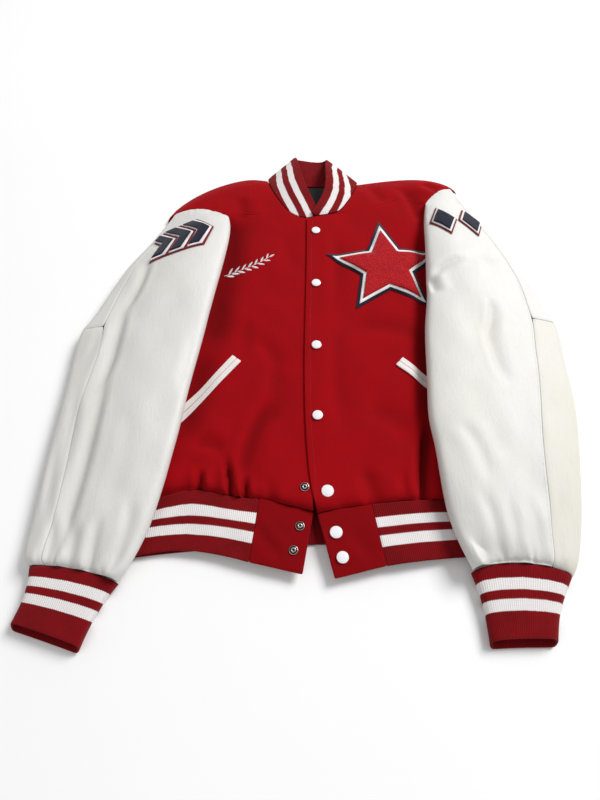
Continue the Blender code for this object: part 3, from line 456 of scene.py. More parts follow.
@dataclass(frozen=True)
class Leather(Finish):
    """Smooth cowhide: pebbled grain, faint pull lines, warm worn patches and painted shade in its
    creases.
    """

    worn: Colour = (0.74, 0.70, 0.58)
    wear: float = 0.25
    # Share of the colour kept in the deepest creases, which are painted darker as shade.
    crease_shade: Colour = (0.62, 0.60, 0.55)

    def dress(self, graph: Graph) -> None:
        """Write the material's nodes.

        Args:
            graph: nodes of the material.
        """
        patches = graph.noise(7.0, 3.0, 0.5)
        pebble = graph.cells(620.0, True)
        pores = graph.noise(1500.0, 2.0, 0.6)
        pulls = graph.noise(1.0, 4.0, 0.62, graph.stretched((150.0, 38.0, 120.0), 0.15), 0.9)
        base = graph.veil(self.colour, patches, 0.45, 0.75, self.wear, self.worn)
        base = graph.veil(base, pulls, 0.44, 0.30, 0.30, self.tint(0.86))
        base = graph.veil(base, pebble, 0.09, 0.0, 0.20, self.tint(0.86))
        # Painted shade: the leather is darker and greyer where it sinks into a crease of its
        # relief.
        crease_shade = tuple(part * share for part, share in zip(self.colour, self.crease_shade))
        base = graph.veil(base, graph.attribute("hollow"), 0.05, 0.7, 0.34, crease_shade)
        grain = graph.fit(pebble, 0.0, 0.16, 0.0, 1.0, True)
        relief = graph.bump(graph.added(grain, pores, 0.35), 0.00012, 0.55)
        relief = graph.bump(pulls, 0.0011, 0.32, relief)
        gloss = graph.fit(graph.added(patches, pebble, 0.5), 0.3, 1.0, 0.42, 0.60)
        graph.set(Base_Color=base, Roughness=gloss, Normal=relief)
        graph.set(Specular_IOR_Level=0.42)


@dataclass(frozen=True)
class Stripe:
    """One knitted stripe, in millimetres from the band's seam."""

    start: float
    end: float


@dataclass(frozen=True)
class Rib(Finish):
    """Rib knit of a band, with its stripes laid along the band and its ribs across it."""

    stripes: tuple[Stripe, ...] = ()
    white: Colour = (0.86, 0.84, 0.83)
    pitch: float = 2.5
    course: float = 1.7
    slant: float = 0.45
    ragged: float = 0.7
    border: float = 0.3

    def dress(self, graph: Graph) -> None:
        """Write the material's nodes.

        Args:
            graph: nodes of the material.
        """
        across, along = graph.attribute("across"), graph.attribute("along")
        turn = graph.scaled(along, 2 * math.pi / self.pitch)
        rib = graph.fit(graph.maths("COSINE", turn), -1.0, 1.0)
        legs = graph.maths("ABSOLUTE", graph.maths("SINE", turn))
        courses = graph.added(across, legs, self.course * self.slant)
        stitch = graph.maths("COSINE", graph.scaled(courses, 2 * math.pi / self.course))
        stitch = graph.fit(stitch, -1.0, 1.0)
        level = graph.added(across, graph.maths("SUBTRACT", rib, 0.5), self.ragged)
        mask = self.stripe_mask(graph, level)
        fuzz = graph.noise(1300.0, 3.0, 0.65)
        cloudy = graph.fit(graph.noise(30.0), 0.35, 0.7)
        base = graph.mix(mask, graph.mix(cloudy, self.tint(0.84), self.tint(1.12)), self.white)
        # Painted shade: the knit is darker in the valleys between the ribs, less so on the white
        # stripes.
        hollow = graph.scaled(graph.fit(rib, 0.55, 0.0, 0.0, 0.42),
                              graph.fit(mask, 0.0, 1.0, 1.0, 0.25))
        base = graph.mix(hollow, base, (0.12, 0.012, 0.016))
        gaps = graph.fit(stitch, 0.4, 0.0, 0.0, 0.16)
        base = graph.mix(gaps, base, (0.20, 0.06, 0.06), "MULTIPLY")
        base = graph.mix(graph.fit(fuzz, 0.58, 0.8, 0.0, 0.07), base, (0.40, 0.03, 0.04), "SCREEN")
        height = graph.added(graph.added(rib, stitch, 0.35), fuzz, 0.3)
        graph.set(Base_Color=base, Roughness=graph.fit(fuzz, 0.2, 0.8, 0.82, 0.95),
                  Normal=graph.bump(height, 0.00055, 0.8))
        graph.set(Sheen_Weight=0.10, Sheen_Roughness=0.5, Sheen_Tint=(1.0, 0.5, 0.5, 1.0),
                  Specular_IOR_Level=0.08)

    def stripe_mask(self, graph: Graph, level: Socket) -> Socket:
        """1 in a stripe on the band's outer face, and 0 elsewhere.

        Args:
            graph: nodes of the finish.
            level: distance from the seam, in millimetres.

        Returns:
            The mask.
        """
        mask: Feed = 0.0
        for stripe in self.stripes:
            begun = graph.fit(level, stripe.start - self.border, stripe.start + self.border)
            left = graph.fit(level, stripe.end - self.border, stripe.end + self.border, 1.0, 0.0)
            mask = graph.maths("ADD", mask, graph.maths("MULTIPLY", begun, left), clamp=True)
        outer = graph.fit(graph.attribute("inner"), 0.0, 1.0, 1.0, 0.0)
        return graph.maths("MULTIPLY", mask, outer)


@dataclass(frozen=True)
class Felt(Finish):
    """Pressed felt: matted fibres without a weave."""

    def dress(self, graph: Graph) -> None:
        """Write the material's nodes.

        Args:
            graph: nodes of the material.
        """
        matted = graph.noise(520.0, 5.0, 0.7, bend=1.2)
        cloudy = graph.noise(60.0, 3.0, 0.5)
        base = graph.mix(graph.fit(cloudy, 0.3, 0.7), self.tint(0.80), self.tint(1.12, 0.006))
        base = graph.veil(base, matted, 0.42, 0.30, 0.35, self.tint(0.6))
        graph.set(Base_Color=base, Roughness=graph.fit(matted, 0.2, 0.8, 0.84, 0.98),
                  Normal=graph.bump(matted, 0.0004, 0.6))
        graph.set(Sheen_Weight=0.15, Sheen_Roughness=0.5, Specular_IOR_Level=0.15)


@dataclass(frozen=True)
class Chenille(Finish):
    """Looped chenille pile, packed close in wandering rows."""

    loops: float = 520.0

    def dress(self, graph: Graph) -> None:
        """Write the material's nodes.

        Args:
            graph: nodes of the material.
        """
        drift = graph.noise(90.0, 2.0, 0.5)
        pile = graph.cells(self.loops)
        crowns = graph.fit(pile, 0.0, 0.75, 1.0, 0.0, True)
        fluff = graph.noise(1500.0, 3.0, 0.7)
        base = graph.mix(graph.fit(crowns, 0.1, 0.85), self.tint(0.62), self.tint(1.18, 0.004))
        base = graph.veil(base, drift, 0.35, 0.7, 0.30, self.tint(0.8))
        graph.set(Base_Color=base, Roughness=graph.fit(fluff, 0.2, 0.8, 0.86, 0.98),
                  Normal=graph.bump(graph.added(crowns, fluff, 0.4), 0.0007, 0.8))
        graph.set(Sheen_Weight=0.4, Sheen_Roughness=0.4, Sheen_Tint=(1.0, 0.45, 0.45, 1.0),
                  Specular_IOR_Level=0.15)


@dataclass(frozen=True)
class Enamel(Finish):
    """Baked enamel on a pressed cap, with faint handling marks."""

    def dress(self, graph: Graph) -> None:
        """Write the material's nodes.

        Args:
            graph: nodes of the material.
        """
        haze = graph.noise(180.0, 3.0, 0.5)
        specks = graph.noise(1400.0, 2.0, 0.6)
        base = graph.mix(graph.fit(haze, 0.3, 0.75), self.colour, self.tint(0.94))
        base = graph.veil(base, specks, 0.70, 0.80, 0.25, (0.62, 0.58, 0.56))
        graph.set(Base_Color=base, Roughness=graph.fit(haze, 0.3, 0.7, 0.18, 0.32),
                  Normal=graph.bump(specks, 0.00004, 0.4))
        graph.set(Coat_Weight=0.5, Coat_Roughness=0.08, Specular_IOR_Level=0.5)


@dataclass(frozen=True)
class Nickel(Finish):
    """Plated metal with a brushed, slightly dulled face, and painted shade in the well of a stud.
    """

    def dress(self, graph: Graph) -> None:
        """Write the material's nodes.

        Args:
            graph: nodes of the material.
        """
        dull = graph.noise(260.0, 4.0, 0.6)
        scratches = graph.noise(1.0, 3.0, 0.6, graph.stretched((2600.0, 260.0, 900.0), 0.7))
        base = graph.mix(graph.fit(dull, 0.35, 0.7), self.colour, self.tint(0.66))
        # Painted shade: the well inside a stud's post is painted almost black.
        base = graph.mix(graph.attribute("hollow"), base, self.tint(0.04))
        graph.set(Base_Color=base, Roughness=graph.fit(scratches, 0.3, 0.7, 0.22, 0.42),
                  Normal=graph.bump(scratches, 0.00003, 0.5))
        graph.set(Metallic=1.0)


@dataclass(frozen=True)
class Satin(Finish):
    """Smooth lining with a fine diagonal weave."""

    def dress(self, graph: Graph) -> None:
        """Write the material's nodes.

        Args:
            graph: nodes of the material.
        """
        slub = graph.noise(1.0, 3.0, 0.5, graph.stretched((2400.0, 240.0, 900.0), 0.78))
        cloudy = graph.noise(40.0)
        base = graph.mix(graph.fit(cloudy, 0.3, 0.7), self.colour, self.tint(1.7, 0.002))
        graph.set(Base_Color=base, Roughness=graph.fit(slub, 0.3, 0.7, 0.34, 0.52),
                  Normal=graph.bump(slub, 0.0001, 0.5))
        graph.set(Specular_IOR_Level=0.22)


@dataclass(frozen=True)
class Thread(Finish):
    """Twisted polyester thread."""

    def dress(self, graph: Graph) -> None:
        """Write the material's nodes.

        Args:
            graph: nodes of the material.
        """
        twist = graph.noise(1.0, 2.0, 0.5, graph.stretched((3000.0, 900.0, 3000.0), 0.8))
        base = graph.mix(graph.fit(twist, 0.3, 0.7), self.tint(0.80), self.colour)
        graph.set(Base_Color=base, Roughness=graph.fit(twist, 0.3, 0.7, 0.42, 0.6),
                  Normal=graph.bump(twist, 0.00008, 0.6))
        graph.set(Sheen_Weight=0.2, Specular_IOR_Level=0.45)


@dataclass(frozen=True)
class Plaster(Finish):
    """Pale matt floor."""

    def dress(self, graph: Graph) -> None:
        """Write the material's nodes.

        Args:
            graph: nodes of the material.
        """
        cloudy = graph.noise(2.0)
        base = graph.mix(graph.fit(cloudy, 0.3, 0.7), self.colour, self.tint(0.985))
        graph.set(Base_Color=base, Roughness=0.9)
        graph.set(Specular_IOR_Level=0.1)


WOOL = Wool("red_melton_wool", (0.290, 0.0016, 0.0042))
# A darker copy of the same wool for the hem tabs: painted shade.
TAB_WOOL = Wool("shaded_red_melton_wool", (0.212, 0.0016, 0.0036), nap=0.10)
LEATHER = Leather("white_cowhide", (0.685, 0.68, 0.655))
ELBOW_LEATHER = Leather("aged_white_cowhide", (0.67, 0.657, 0.60), (0.69, 0.65, 0.525), 0.7)
WELT_LEATHER = Leather("welt_cowhide", (0.80, 0.735, 0.715), (0.74, 0.66, 0.63), 0.5)
HEM_RIB = Rib("striped_hem_rib", (0.212, 0.0020, 0.0045), (Stripe(15.5, 26.5), Stripe(35.5, 47.5)))
CUFF_RIB = Rib("striped_cuff_rib", (0.215, 0.0020, 0.0045), (Stripe(14, 26), Stripe(35.5, 47.5)))
COLLAR_RIB = Rib("striped_collar_rib", (0.225, 0.0022, 0.0048),
                 (Stripe(19.5, 30.5), Stripe(41.5, 52)))
SATIN = Satin("dark_satin_lining", (0.006, 0.0065, 0.009))
CHENILLE = Chenille("red_chenille", (0.50, 0.0075, 0.014))
NAVY = Felt("navy_felt", (0.007, 0.008, 0.024))
WHITE = Felt("white_felt", (0.82, 0.79, 0.79))
DARK_RED = Felt("dark_red_felt", (0.19, 0.010, 0.022))
ENAMEL = Enamel("white_enamel", (0.88, 0.86, 0.88))
NICKEL = Nickel("nickel_plate", (0.66, 0.63, 0.60))
WHITE_THREAD = Thread("white_thread", (0.84, 0.78, 0.78))
CREAM_THREAD = Thread("cream_thread", (0.70, 0.68, 0.62))
RED_THREAD = Thread("red_thread", (0.29, 0.0035, 0.007))
FLOOR = Plaster("pale_floor", (0.93, 0.93, 0.93))


# ------------------------------------------------------------------------------ relief of the cloth
FADE_LENGTH = 0.35  # share of a fold over which it dies away at each end
FADE_START = 0.25
LIP_PLACE, LIP_WIDTH = 2.1, 1.1  # of a fold's width
PUCKER_LIP = 0.35
PUCKER_LIP_PLACE = 1.9
ROLL_FOOT = 2.5
# Strength, turns along x and y, and share of the phase of each wave of a swell.
WAVES = ((1.0, 2.1, 3.4, 1), (0.7, -4.3, 2.2, 2), (0.5, 6.7, 5.1, 3), (0.35, 9.8, -8.3, 1))
WAVE_SUM = 1.7


@dataclass(frozen=True)
class Fold:
    """A soft trough or ridge along a bowed line.

    A positive depth is a trough. lip is the share of the depth that stands up on both sides of it.
    """

    x0: float
    y0: float
    x1: float
    y1: float
    depth: float
    width: float
    bow: float = 0.0
    lip: float = 0.25
    skew: float = 0.0

    def lift(self, x: Array, y: Array) -> Array:
        """Height that the fold adds at each place.

        Args:
            x: the places' x, in pattern millimetres.
            y: the places' y, in pattern millimetres.

        Returns:
            Height in millimetres at each place.
        """
        run_x, run_y = self.x1 - self.x0, self.y1 - self.y0
        length = math.hypot(run_x, run_y)
        share = ((x - self.x0) * run_x + (y - self.y0) * run_y) / length ** 2
        side = ((x - self.x0) * -run_y + (y - self.y0) * run_x) / length
        side = side - self.bow * 4 * np.clip(share, 0, 1) * (1 - np.clip(share, 0, 1))
        width = self.width * np.where(side > 0, 1 + self.skew, 1 - self.skew)
        taper = smooth(share / FADE_LENGTH + FADE_START)
        taper = taper * smooth((1 - share) / FADE_LENGTH + FADE_START)
        trough = np.exp(-((side / width) ** 2))
        lips = np.exp(-(((np.abs(side) - LIP_PLACE * width) / (LIP_WIDTH * width)) ** 2))
        return self.depth * taper * (self.lip * lips - trough)


@dataclass(frozen=True)
class Gathers:
    """Uneven puckers that start at a seam and die away from it, on its left or on both sides."""

    seam: Line
    count: int
    depth: float
    reach: float
    lean: float = 0.0
    phase: float = 0.0
    ramp: float = 0.0
    behind: float = 0.0
    first: float = 0.04
    last: float = 0.96

    def lift(self, x: Array, y: Array) -> Array:
        """Height that the puckers add at each place.

        Args:
            x: the places' x, in pattern millimetres.
            y: the places' y, in pattern millimetres.

        Returns:
            Height in millimetres at each place.
        """
        along, away = polyline_reach(self.seam, x, y)
        length = polyline_length(self.seam)
        pitch = length * (self.last - self.first) / self.count
        far = np.maximum(away, 0)
        total = np.zeros(x.shape)
        for number in range(self.count):
            wander = self.uneven(0.0, 0.34, 2.7 * number, 1.0)
            spot = self.first * length + (number + 0.5 + wander) * pitch
            deep = self.depth * self.uneven(0.62, 0.38, 1.9 * number, 2.1)
            reach = self.reach * self.uneven(0.72, 0.38, 3.3 * number, 1.3)
            lean = self.uneven(self.lean, 0.22, 4.1 * number, 1.0)
            wide = pitch * self.uneven(0.24, 0.06, 2.2 * number, 0.0) * (1 + 0.6 * far / reach)
            across = along - spot - lean * far
            lips = np.exp(-(((np.abs(across) - PUCKER_LIP_PLACE * wide) / wide) ** 2))
            shape = np.exp(-((across / wide) ** 2)) - PUCKER_LIP * lips
            back = np.exp(-((away / self.behind) ** 2)) if self.behind else 0.0
            fade = np.where(away < 0, back, np.exp(-((far / reach) ** 2)))
            if self.ramp:
                fade = fade * smooth(far / self.ramp)
            total -= deep * shape * fade
        return total

    def uneven(self, middle: float, spread: float, turn: float, share: float) -> float:
        """A value that wanders about its middle from pucker to pucker."""
        return middle + spread * math.sin(turn + share * self.phase)


@dataclass(frozen=True)
class Roll:
    """A soft roll of cloth that stands up beside a seam and dips into it, on the seam's left."""

    seam: Line
    height: float
    reach: float
    dip: float = 1.0

    def lift(self, x: Array, y: Array) -> Array:
        """Height that the roll adds at each place.

        Args:
            x: the places' x, in pattern millimetres.
            y: the places' y, in pattern millimetres.

        Returns:
            Height in millimetres at each place.
        """
        along, away = polyline_reach(self.seam, x, y)
        share = along / polyline_length(self.seam)
        uneven = 1 + 0.25 * np.sin(share * 17) + 0.15 * np.sin(share * 31 + 1)
        far = np.maximum(away, 0)
        stand = self.height * uneven * far / self.reach * np.exp(1 - far / self.reach)
        foot = self.dip * np.exp(-((far / ROLL_FOOT) ** 2))
        return np.where(away < 0, 0.0, stand - foot)


@dataclass(frozen=True)
class Drift:
    """A stretch of the upper layer that is pulled along y, most of all at one place."""

    x: float
    y: float
    shift: float
    wide: float
    below: float = 24.0
    above: float = 44.0
    rest: float = 5.0
    free: float = 13.0

    def slide(self, places: Array) -> Array:
        """Distance by which each place moves along y.

        Args:
            places: places, in pattern millimetres.

        Returns:
            Distance in millimetres at each place.
        """
        off = places[:, 1] - self.y
        reach = np.where(off < 0, self.below, self.above)
        pull = np.exp(-(((places[:, 0] - self.x) / self.wide) ** 2) - (off / reach) ** 2)
        return self.shift * pull * smooth((places[:, 2] - self.rest) / (self.free - self.rest))


@dataclass(frozen=True)
class Swell:
    """Slow unevenness of cloth that isn't pressed."""

    height: float
    length: float
    phase: float = 0.0

    def lift(self, x: Array, y: Array) -> Array:
        """Height that the unevenness adds at each place.

        Args:
            x: the places' x, in pattern millimetres.
            y: the places' y, in pattern millimetres.

        Returns:
            Height in millimetres at each place.
        """
        u, v = x / self.length, y / self.length
        wave = sum(strength * np.sin(along * u + up * v + share * self.phase)
                   for strength, along, up, share in WAVES)
        return self.height * wave / WAVE_SUM


@dataclass(frozen=True)
class Relief:
    """All that lifts or sinks one layer of cloth, except where it lies on what is under it."""

    parts: tuple[Fold | Gathers | Roll | Swell, ...]
    rest: float = 4.0
    free: float = 11.0
    drifts: tuple[Drift, ...] = ()

    def lift(self, places: Array) -> Array:
        """Height added at each place, in pattern millimetres.

        Args:
            places: places, in pattern millimetres.

        Returns:
            Height in millimetres at each place.
        """
        total = np.zeros(len(places))
        for part in self.parts:
            total += part.lift(places[:, 0], places[:, 1])
        return total * smooth((places[:, 2] - self.rest) / (self.free - self.rest))

    def slide(self, places: Array) -> Array:
        """Distance along y by which each place is pulled, in pattern millimetres."""
        return sum((drift.slide(places) for drift in self.drifts), np.zeros(len(places)))


FLAT = Relief(())
# Seams of the sleeves' caps, of the hem and of the wrists, and the hem's free edges.
RIGHT_CAP = ((-248, 268), (-235, 279), (-219, 285), (-203, 286), (-188, 285), (-173, 281),
             (-158, 273), (-142, 254))
LEFT_CAP = ((186, 289), (193, 304), (199, 313), (207, 322), (215, 330), (225, 336), (236, 339),
            (249, 337))
RIGHT_HEM_SEAM = ((-250, -231), (-214, -226), (-165, -223), (-107, -225.5), (-78, -229),
                  (-8, -243))
LEFT_HEM_SEAM = ((-3, -245), (67, -232.5), (126, -227), (182, -225.5), (240, -228))
RIGHT_WRIST = ((-356, -312), (-330, -312), (-300, -316), (-272, -321), (-243, -331))
LEFT_WRIST = ((182, -318), (212, -309), (243, -307), (276, -312), (305, -324))
RIGHT_HEM_FOOT = ((-22, -321), (-52, -314), (-84, -307), (-128, -295), (-179, -289),
                  (-225, -296), (-250, -301))
LEFT_HEM_FOOT = ((17, -326), (46, -319), (78, -311), (125, -304), (175, -299), (215, -297),
                 (240, -298))

# Each row is a Fold: its two ends, depth, width, bow, lip and skew.
BODY_FOLDS = (
    (-141, 270, -141, 130, 9.5, 25, 2, 0.0, 0.0),
    (-142, 150, -156, 0, 8.5, 24, 0, 0.0, 0.0),
    (-158, 10, -184, -150, 6.5, 21, 0, 0.0, 0.0),
    (-104, 60, -110, -20, 2.2, 11, 3, 0.2, 0.0),
    (-126, 312, -118, 262, 3.0, 11, 0, 0.2, 0.0),
    (150, 340, 172, 262, 5.0, 12, 6, 0.2, 0.3),
    (186, 352, 214, 330, 3.0, 8, 0, 0.3, 0.0),
    (96, 345, 118, 300, 2.4, 11, 0, 0.2, 0.0),
    (176, 230, 164, 60, 6.5, 14, 0, 0.0, 0.0),
    (164, 70, 150, -130, 7.5, 16, 0, 0.0, 0.0),
    (-92, 24, -52, -30, 2.6, 11, 4, 0.3, 0.0),
    (-60, -30, -58, -130, 2.6, 15, 0, 0.3, 0.2),
    (-66, -84, -104, -204, 6.0, 11, -7, 0.25, 0.3),
    (-166, -148, -126, -160, 3.6, 9, 4, 0.25, 0.0),
    (-154, -194, -157, -262, 11.0, 4.6, 0, 0.25, 0.0),
    (-137, -196, -134, -250, 2.2, 5.0, 0, 0.10, 0.0),
    (-123, -174, -113, -266, 12.0, 4.2, 2, 0.25, 0.3),
    (-97, -198, -92, -266, 10.0, 3.8, 0, 0.25, 0.0),
    (-66, -200, -60, -262, 2.0, 7.0, 0, 0.2, 0.0),
    (150, -120, 131, -234, 8.0, 9, -6, 0.15, 0.3),
    (147, -120, 130, -266, 8.0, 4.4, -4, 0.30, 0.5),
    (110, -190, 103, -262, 3.4, 6, 0, 0.15, 0.0),
    (60, -186, 72, -240, 3.6, 9, 0, 0.2, 0.0),
    (34, 224, 28, 60, 2.4, 12, 3, 0.3, 0.3),
    (30, 40, 36, -150, 2.2, 14, -4, 0.3, 0.2),
    (58, 44, 150, 30, 2.6, 14, 5, 0.3, 0.0),
    (64, -96, 124, -130, 2.2, 17, 6, 0.3, 0.0),
    (-52, 230, -30, 150, 1.6, 14, 0, 0.2, 0.0),
)
RIGHT_SLEEVE_FOLDS = (
    (-262, 160, -286, 60, 3.6, 7, 6, 0.35, -0.25),
    (-286, 66, -300, -70, 3.8, 8, 4, 0.35, -0.25),
    (-296, -52, -318, -300, 3.6, 8, 7, 0.35, -0.25),
    (-318, 40, -327, -20, 2.0, 5, 3, 0.5, 0.0),
    (-337, -70, -333, -200, 2.2, 7, 4, 0.4, 0.0),
    (-345, -150, -340, -250, 1.8, 5, -3, 0.5, 0.0),
    (-205, 120, -228, -40, 1.5, 24, 8, 0.2, 0.0),
    (-190, -60, -215, -220, 1.8, 20, -8, 0.3, 0.0),
    (-250, -110, -262, -250, 1.6, 14, 6, 0.3, 0.0),
    (-176, 10, -186, -90, 1.4, 7, 0, 0.3, 0.0),
    (-232, -236, -250, -322, 2.6, 7, 4, 0.5, 0.1),
    (-268, -256, -276, -330, 2.2, 6, -3, 0.5, 0.0),
    (-300, -262, -303, -330, 2.6, 7, 2, 0.5, 0.0),
    (-332, -250, -331, -318, 2.4, 6, 2, 0.5, 0.0),
)
LEFT_SLEEVE_FOLDS = (
    (171, 118, 178, 84, 3.6, 6, 0, 0.5, 0.2),
    (176, 118, 232, 150, 3.0, 5.5, 4, 0.4, 0.25),
    (226, 150, 290, 158, 1.6, 9, 3, 0.3, 0.0),
    (257, 74, 245, 14, 2.8, 7, 3, 0.30, 0.3),
    (245, 26, 258, -70, 3.1, 8, -4, 0.30, 0.3),
    (212, 104, 222, -8, 1.8, 20, 5, 0.2, 0.0),
    (205, -60, 232, -190, 2.0, 20, 8, 0.3, 0.0),
    (262, 190, 268, 120, 1.6, 10, 3, 0.3, 0.0),
    (290, -96, 276, -250, 1.8, 14, -6, 0.3, 0.0),
    (186, -130, 214, -210, 2.0, 9, 5, 0.4, 0.0),
    (202, -226, 214, -312, 1.9, 7, 4, 0.4, 0.1),
    (236, -240, 238, -322, 1.6, 6, -2, 0.4, 0.0),
    (262, -232, 258, -322, 1.8, 7, 3, 0.4, 0.0),
    (290, -244, 284, -318, 1.6, 6, 2, 0.4, 0.0),
    (306, -190, 300, -262, 1.8, 6, 2, 0.4, 0.0),
)


def folds_of(table: tuple[tuple[float, ...], ...]) -> tuple[Fold, ...]:
    """Folds of a table."""
    return tuple(Fold(*row) for row in table)


HEM_DRIFTS = (Drift(-165, -223, 11.0, 44), Drift(-75, -229, 3.6, 28))
CAP_PUCKERS = {
    Side.RIGHT: Gathers(RIGHT_CAP, 9, 0.9, 12, phase=1.1, behind=16),
    Side.LEFT: Gathers(LEFT_CAP[::-1], 8, 0.9, 12, phase=0.2, behind=16),
}
BODY_RELIEF = Relief(folds_of(BODY_FOLDS) + (
    Gathers(RIGHT_HEM_SEAM, 10, 1.5, 20, phase=0.6, first=0.08, last=0.98),
    Gathers(LEFT_HEM_SEAM, 10, 1.7, 22, phase=2.2, first=0.04, last=0.86),
    CAP_PUCKERS[Side.RIGHT],
    CAP_PUCKERS[Side.LEFT],
    Roll(RIGHT_HEM_SEAM, 3.4, 10, 1.4),
    Roll(LEFT_HEM_SEAM, 3.2, 11, 1.4),
    Swell(0.55, 62, 0.8),
), rest=5.0, free=13.0, drifts=HEM_DRIFTS)
TAB_RELIEF = Relief((
    Fold(-46, -302, -84, -258, 1.4, 8, 0, 0.4, 0.2),
    Fold(40, -262, 66, -300, 1.2, 9, 0, 0.4, 0.0),
    Swell(0.45, 30, 1.7),
), rest=7.0, free=12.0, drifts=HEM_DRIFTS)
HEM_RELIEF = Relief((Swell(0.7, 46, 0.4),), rest=5.0, free=12.0, drifts=HEM_DRIFTS)
SLEEVE_RELIEFS = {
    Side.RIGHT: Relief(folds_of(RIGHT_SLEEVE_FOLDS) + (
        Gathers(RIGHT_WRIST, 9, 2.5, 21, phase=0.9, ramp=2),
        Roll(RIGHT_WRIST, 2.2, 9, 1.3),
        Roll(RIGHT_CAP, 1.6, 9, 0.8),
        CAP_PUCKERS[Side.RIGHT],
        Swell(0.6, 74, 2.0),
    ), rest=12.0, free=24.0),
    Side.LEFT: Relief(folds_of(LEFT_SLEEVE_FOLDS) + (
        Gathers(LEFT_WRIST, 9, 2.2, 20, phase=2.4, ramp=2),
        Roll(LEFT_WRIST, 2.4, 9, 1.2),
        Roll(LEFT_CAP, 1.6, 9, 0.8),
        CAP_PUCKERS[Side.LEFT],
        Swell(0.6, 74, 0.3),
    ), rest=12.0, free=24.0),
}


# ----------------------------------------------------------------------------------- cloth surfaces
WELD = 2e-6
SAME_PLANE, SQUARE_CORNERS = math.radians(38), math.radians(75)  # for triangles that join
# A trough this deep gets the full painted shade of the wool and the leather.
HOLLOW_DEPTH = 9.0  # depth at which a trough is wholly hollow
PILE_TOP, PILE_SIDE = 0.97, 0.9  # how far up a normal points
PILE_ROUND = 2.2
INNER_TURN = -0.15  # how far out a normal points


def merged_copy(node: str) -> Form:
    """The solid of a CAD node as joined quads.

    Args:
        node: CAD node.

    Returns:
        The form.
    """
    shape = bmesh.new()
    shape.from_mesh(bpy.data.objects[node].data)
    bmesh.ops.remove_doubles(shape, verts=shape.verts, dist=WELD)
    bmesh.ops.join_triangles(shape, faces=shape.faces[:], angle_face_threshold=SAME_PLANE,
                             angle_shape_threshold=SQUARE_CORNERS)
    return shape


def mark_rims(shape: Form, angle: float, sharpness: float) -> None:
    """Keep a cloth's cut edges crisp when it is made smooth.

    Args:
        shape: the form.
        angle: least bend of an edge, in degrees.
        sharpness: crease of the edges, from 0 to 1.
    """
    crease = shape.edges.layers.float.new("crease_edge")
    for edge in shape.edges:
        if len(edge.link_faces) == 2 and edge.calc_face_angle(0.0) > math.radians(angle):
            edge[crease] = sharpness


def link_mesh(name: str, mesh: Mesh, finish: Finish) -> Piece:
    """A finished mesh as an object in the scene.

    Args:
        name: name of the new one.
        mesh: the mesh.
        finish: finish of the piece.

    Returns:
        The object.
    """
    mesh.materials.clear()
    mesh.materials.append(finish.material())
    made = bpy.data.objects.new(name, mesh)
    bpy.context.scene.collection.objects.link(made)
    return made


def declare(made: Piece, node: str = "") -> None:
    """Let a piece ride the root body, and hide the CAD node that it stands for.

    Args:
        made: the piece.
        node: CAD node.
    """
    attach(made, "root")
    if node:
        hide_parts(node)


def smooth_form(name: str, shape: Form, levels: int) -> Mesh:
    """Subdivide a form and keep the result as a plain mesh.

    Args:
        name: name of the new mesh.
        shape: the coarse form, which is used up.
        levels: number of subdivisions.

    Returns:
        The smooth mesh.
    """
    coarse = mesh_of(name + "_coarse", shape)
    carrier = bpy.data.objects.new(name + "_coarse", coarse)
    bpy.context.scene.collection.objects.link(carrier)
    rounded = carrier.modifiers.new("rounded", "SUBSURF")
    rounded.levels = rounded.render_levels = levels
    bpy.context.view_layer.update()
    seen = carrier.evaluated_get(bpy.context.evaluated_depsgraph_get())
    mesh = bpy.data.meshes.new_from_object(seen)
    mesh.name = name
    bpy.data.objects.remove(carrier)
    bpy.data.meshes.remove(coarse)
    shade_smooth(mesh)
    return mesh


@dataclass
class ClothPiece:
    """One cut piece of cloth on the form of its CAD node."""

    node: str
    finish: Finish
    slot: Slot
    levels: int = 2
    relief: Relief = FLAT
    flat: tuple[float, float] | None = None
    share: float = 1.0
    hold: Hold = Hold.LAID
    rests_on: tuple[str, ...] = ()
    puff: float = 0.0
    sharpness: float = 0.85
    rim_angle: float = 50.0
    made: Piece | None = None
    unslid: Array | None = None

    def build(self, pattern: Pattern) -> Piece:
        """Make the piece: smooth, creased and dressed.

        Args:
            pattern: where the pattern lies.

        Returns:
            The piece's object.
        """
        shape = merged_copy(self.node)
        mark_rims(shape, self.rim_angle, self.sharpness)
        mesh = smooth_form(f"{self.node}_cloth", shape, self.levels)
        places = pattern.millimetres(rows_of(mesh, "co"))
        if self.puff:
            places = self.puffed(mesh, places)
        lifted, slid = self.relief.lift(places), self.relief.slide(places)
        places[:, 2] += lifted
        self.unslid = places.copy()
        places[:, 1] += slid
        set_vertices(mesh, pattern.metres(places))
        # How deep each place lies in a trough; the wool and the leather paint shade with it.
        set_attribute(mesh, "hollow", np.clip(-lifted / HOLLOW_DEPTH, 0.0, 1.0))
        self.made = link_mesh(f"{self.node}_cloth", mesh, self.finish)
        declare(self.made, self.node)
        area = sum(face.area for face in mesh.polygons) / 2
        LOG.info("%s: %d vertices, %.4f square metres", self.made.name, len(mesh.vertices), area)
        return self.made

    def puffed(self, mesh: Mesh, places: Array) -> Array:
        """Round the top of a thick pile down towards its outline.

        Args:
            mesh: the mesh.
            places: places, in pattern millimetres.

        Returns:
            The rounded places.
        """
        upward = rows_of(mesh, "normal")[:, 2]
        level = upward > PILE_TOP
        edge = np.abs(upward) < PILE_SIDE
        if not edge.any():
            return places
        tree = KDTree(int(edge.sum()))
        for number, place in enumerate(places[edge]):
            tree.insert((place[0], place[1], 0.0), number)
        tree.balance()
        rounded = places.copy()
        for number in np.nonzero(level)[0]:
            away = tree.find((places[number][0], places[number][1], 0.0))[2]
            rounded[number][2] += self.puff * (1 - math.exp(-away / PILE_ROUND))
        return rounded

    def cut(self, with_pieces: list[Piece]) -> None:
        """Do nothing: the size that the piece was cut to is not said.

        Args:
            with_pieces: small pieces that lie on the sheet; not used.
        """


Cloths = dict[str, ClothPiece]


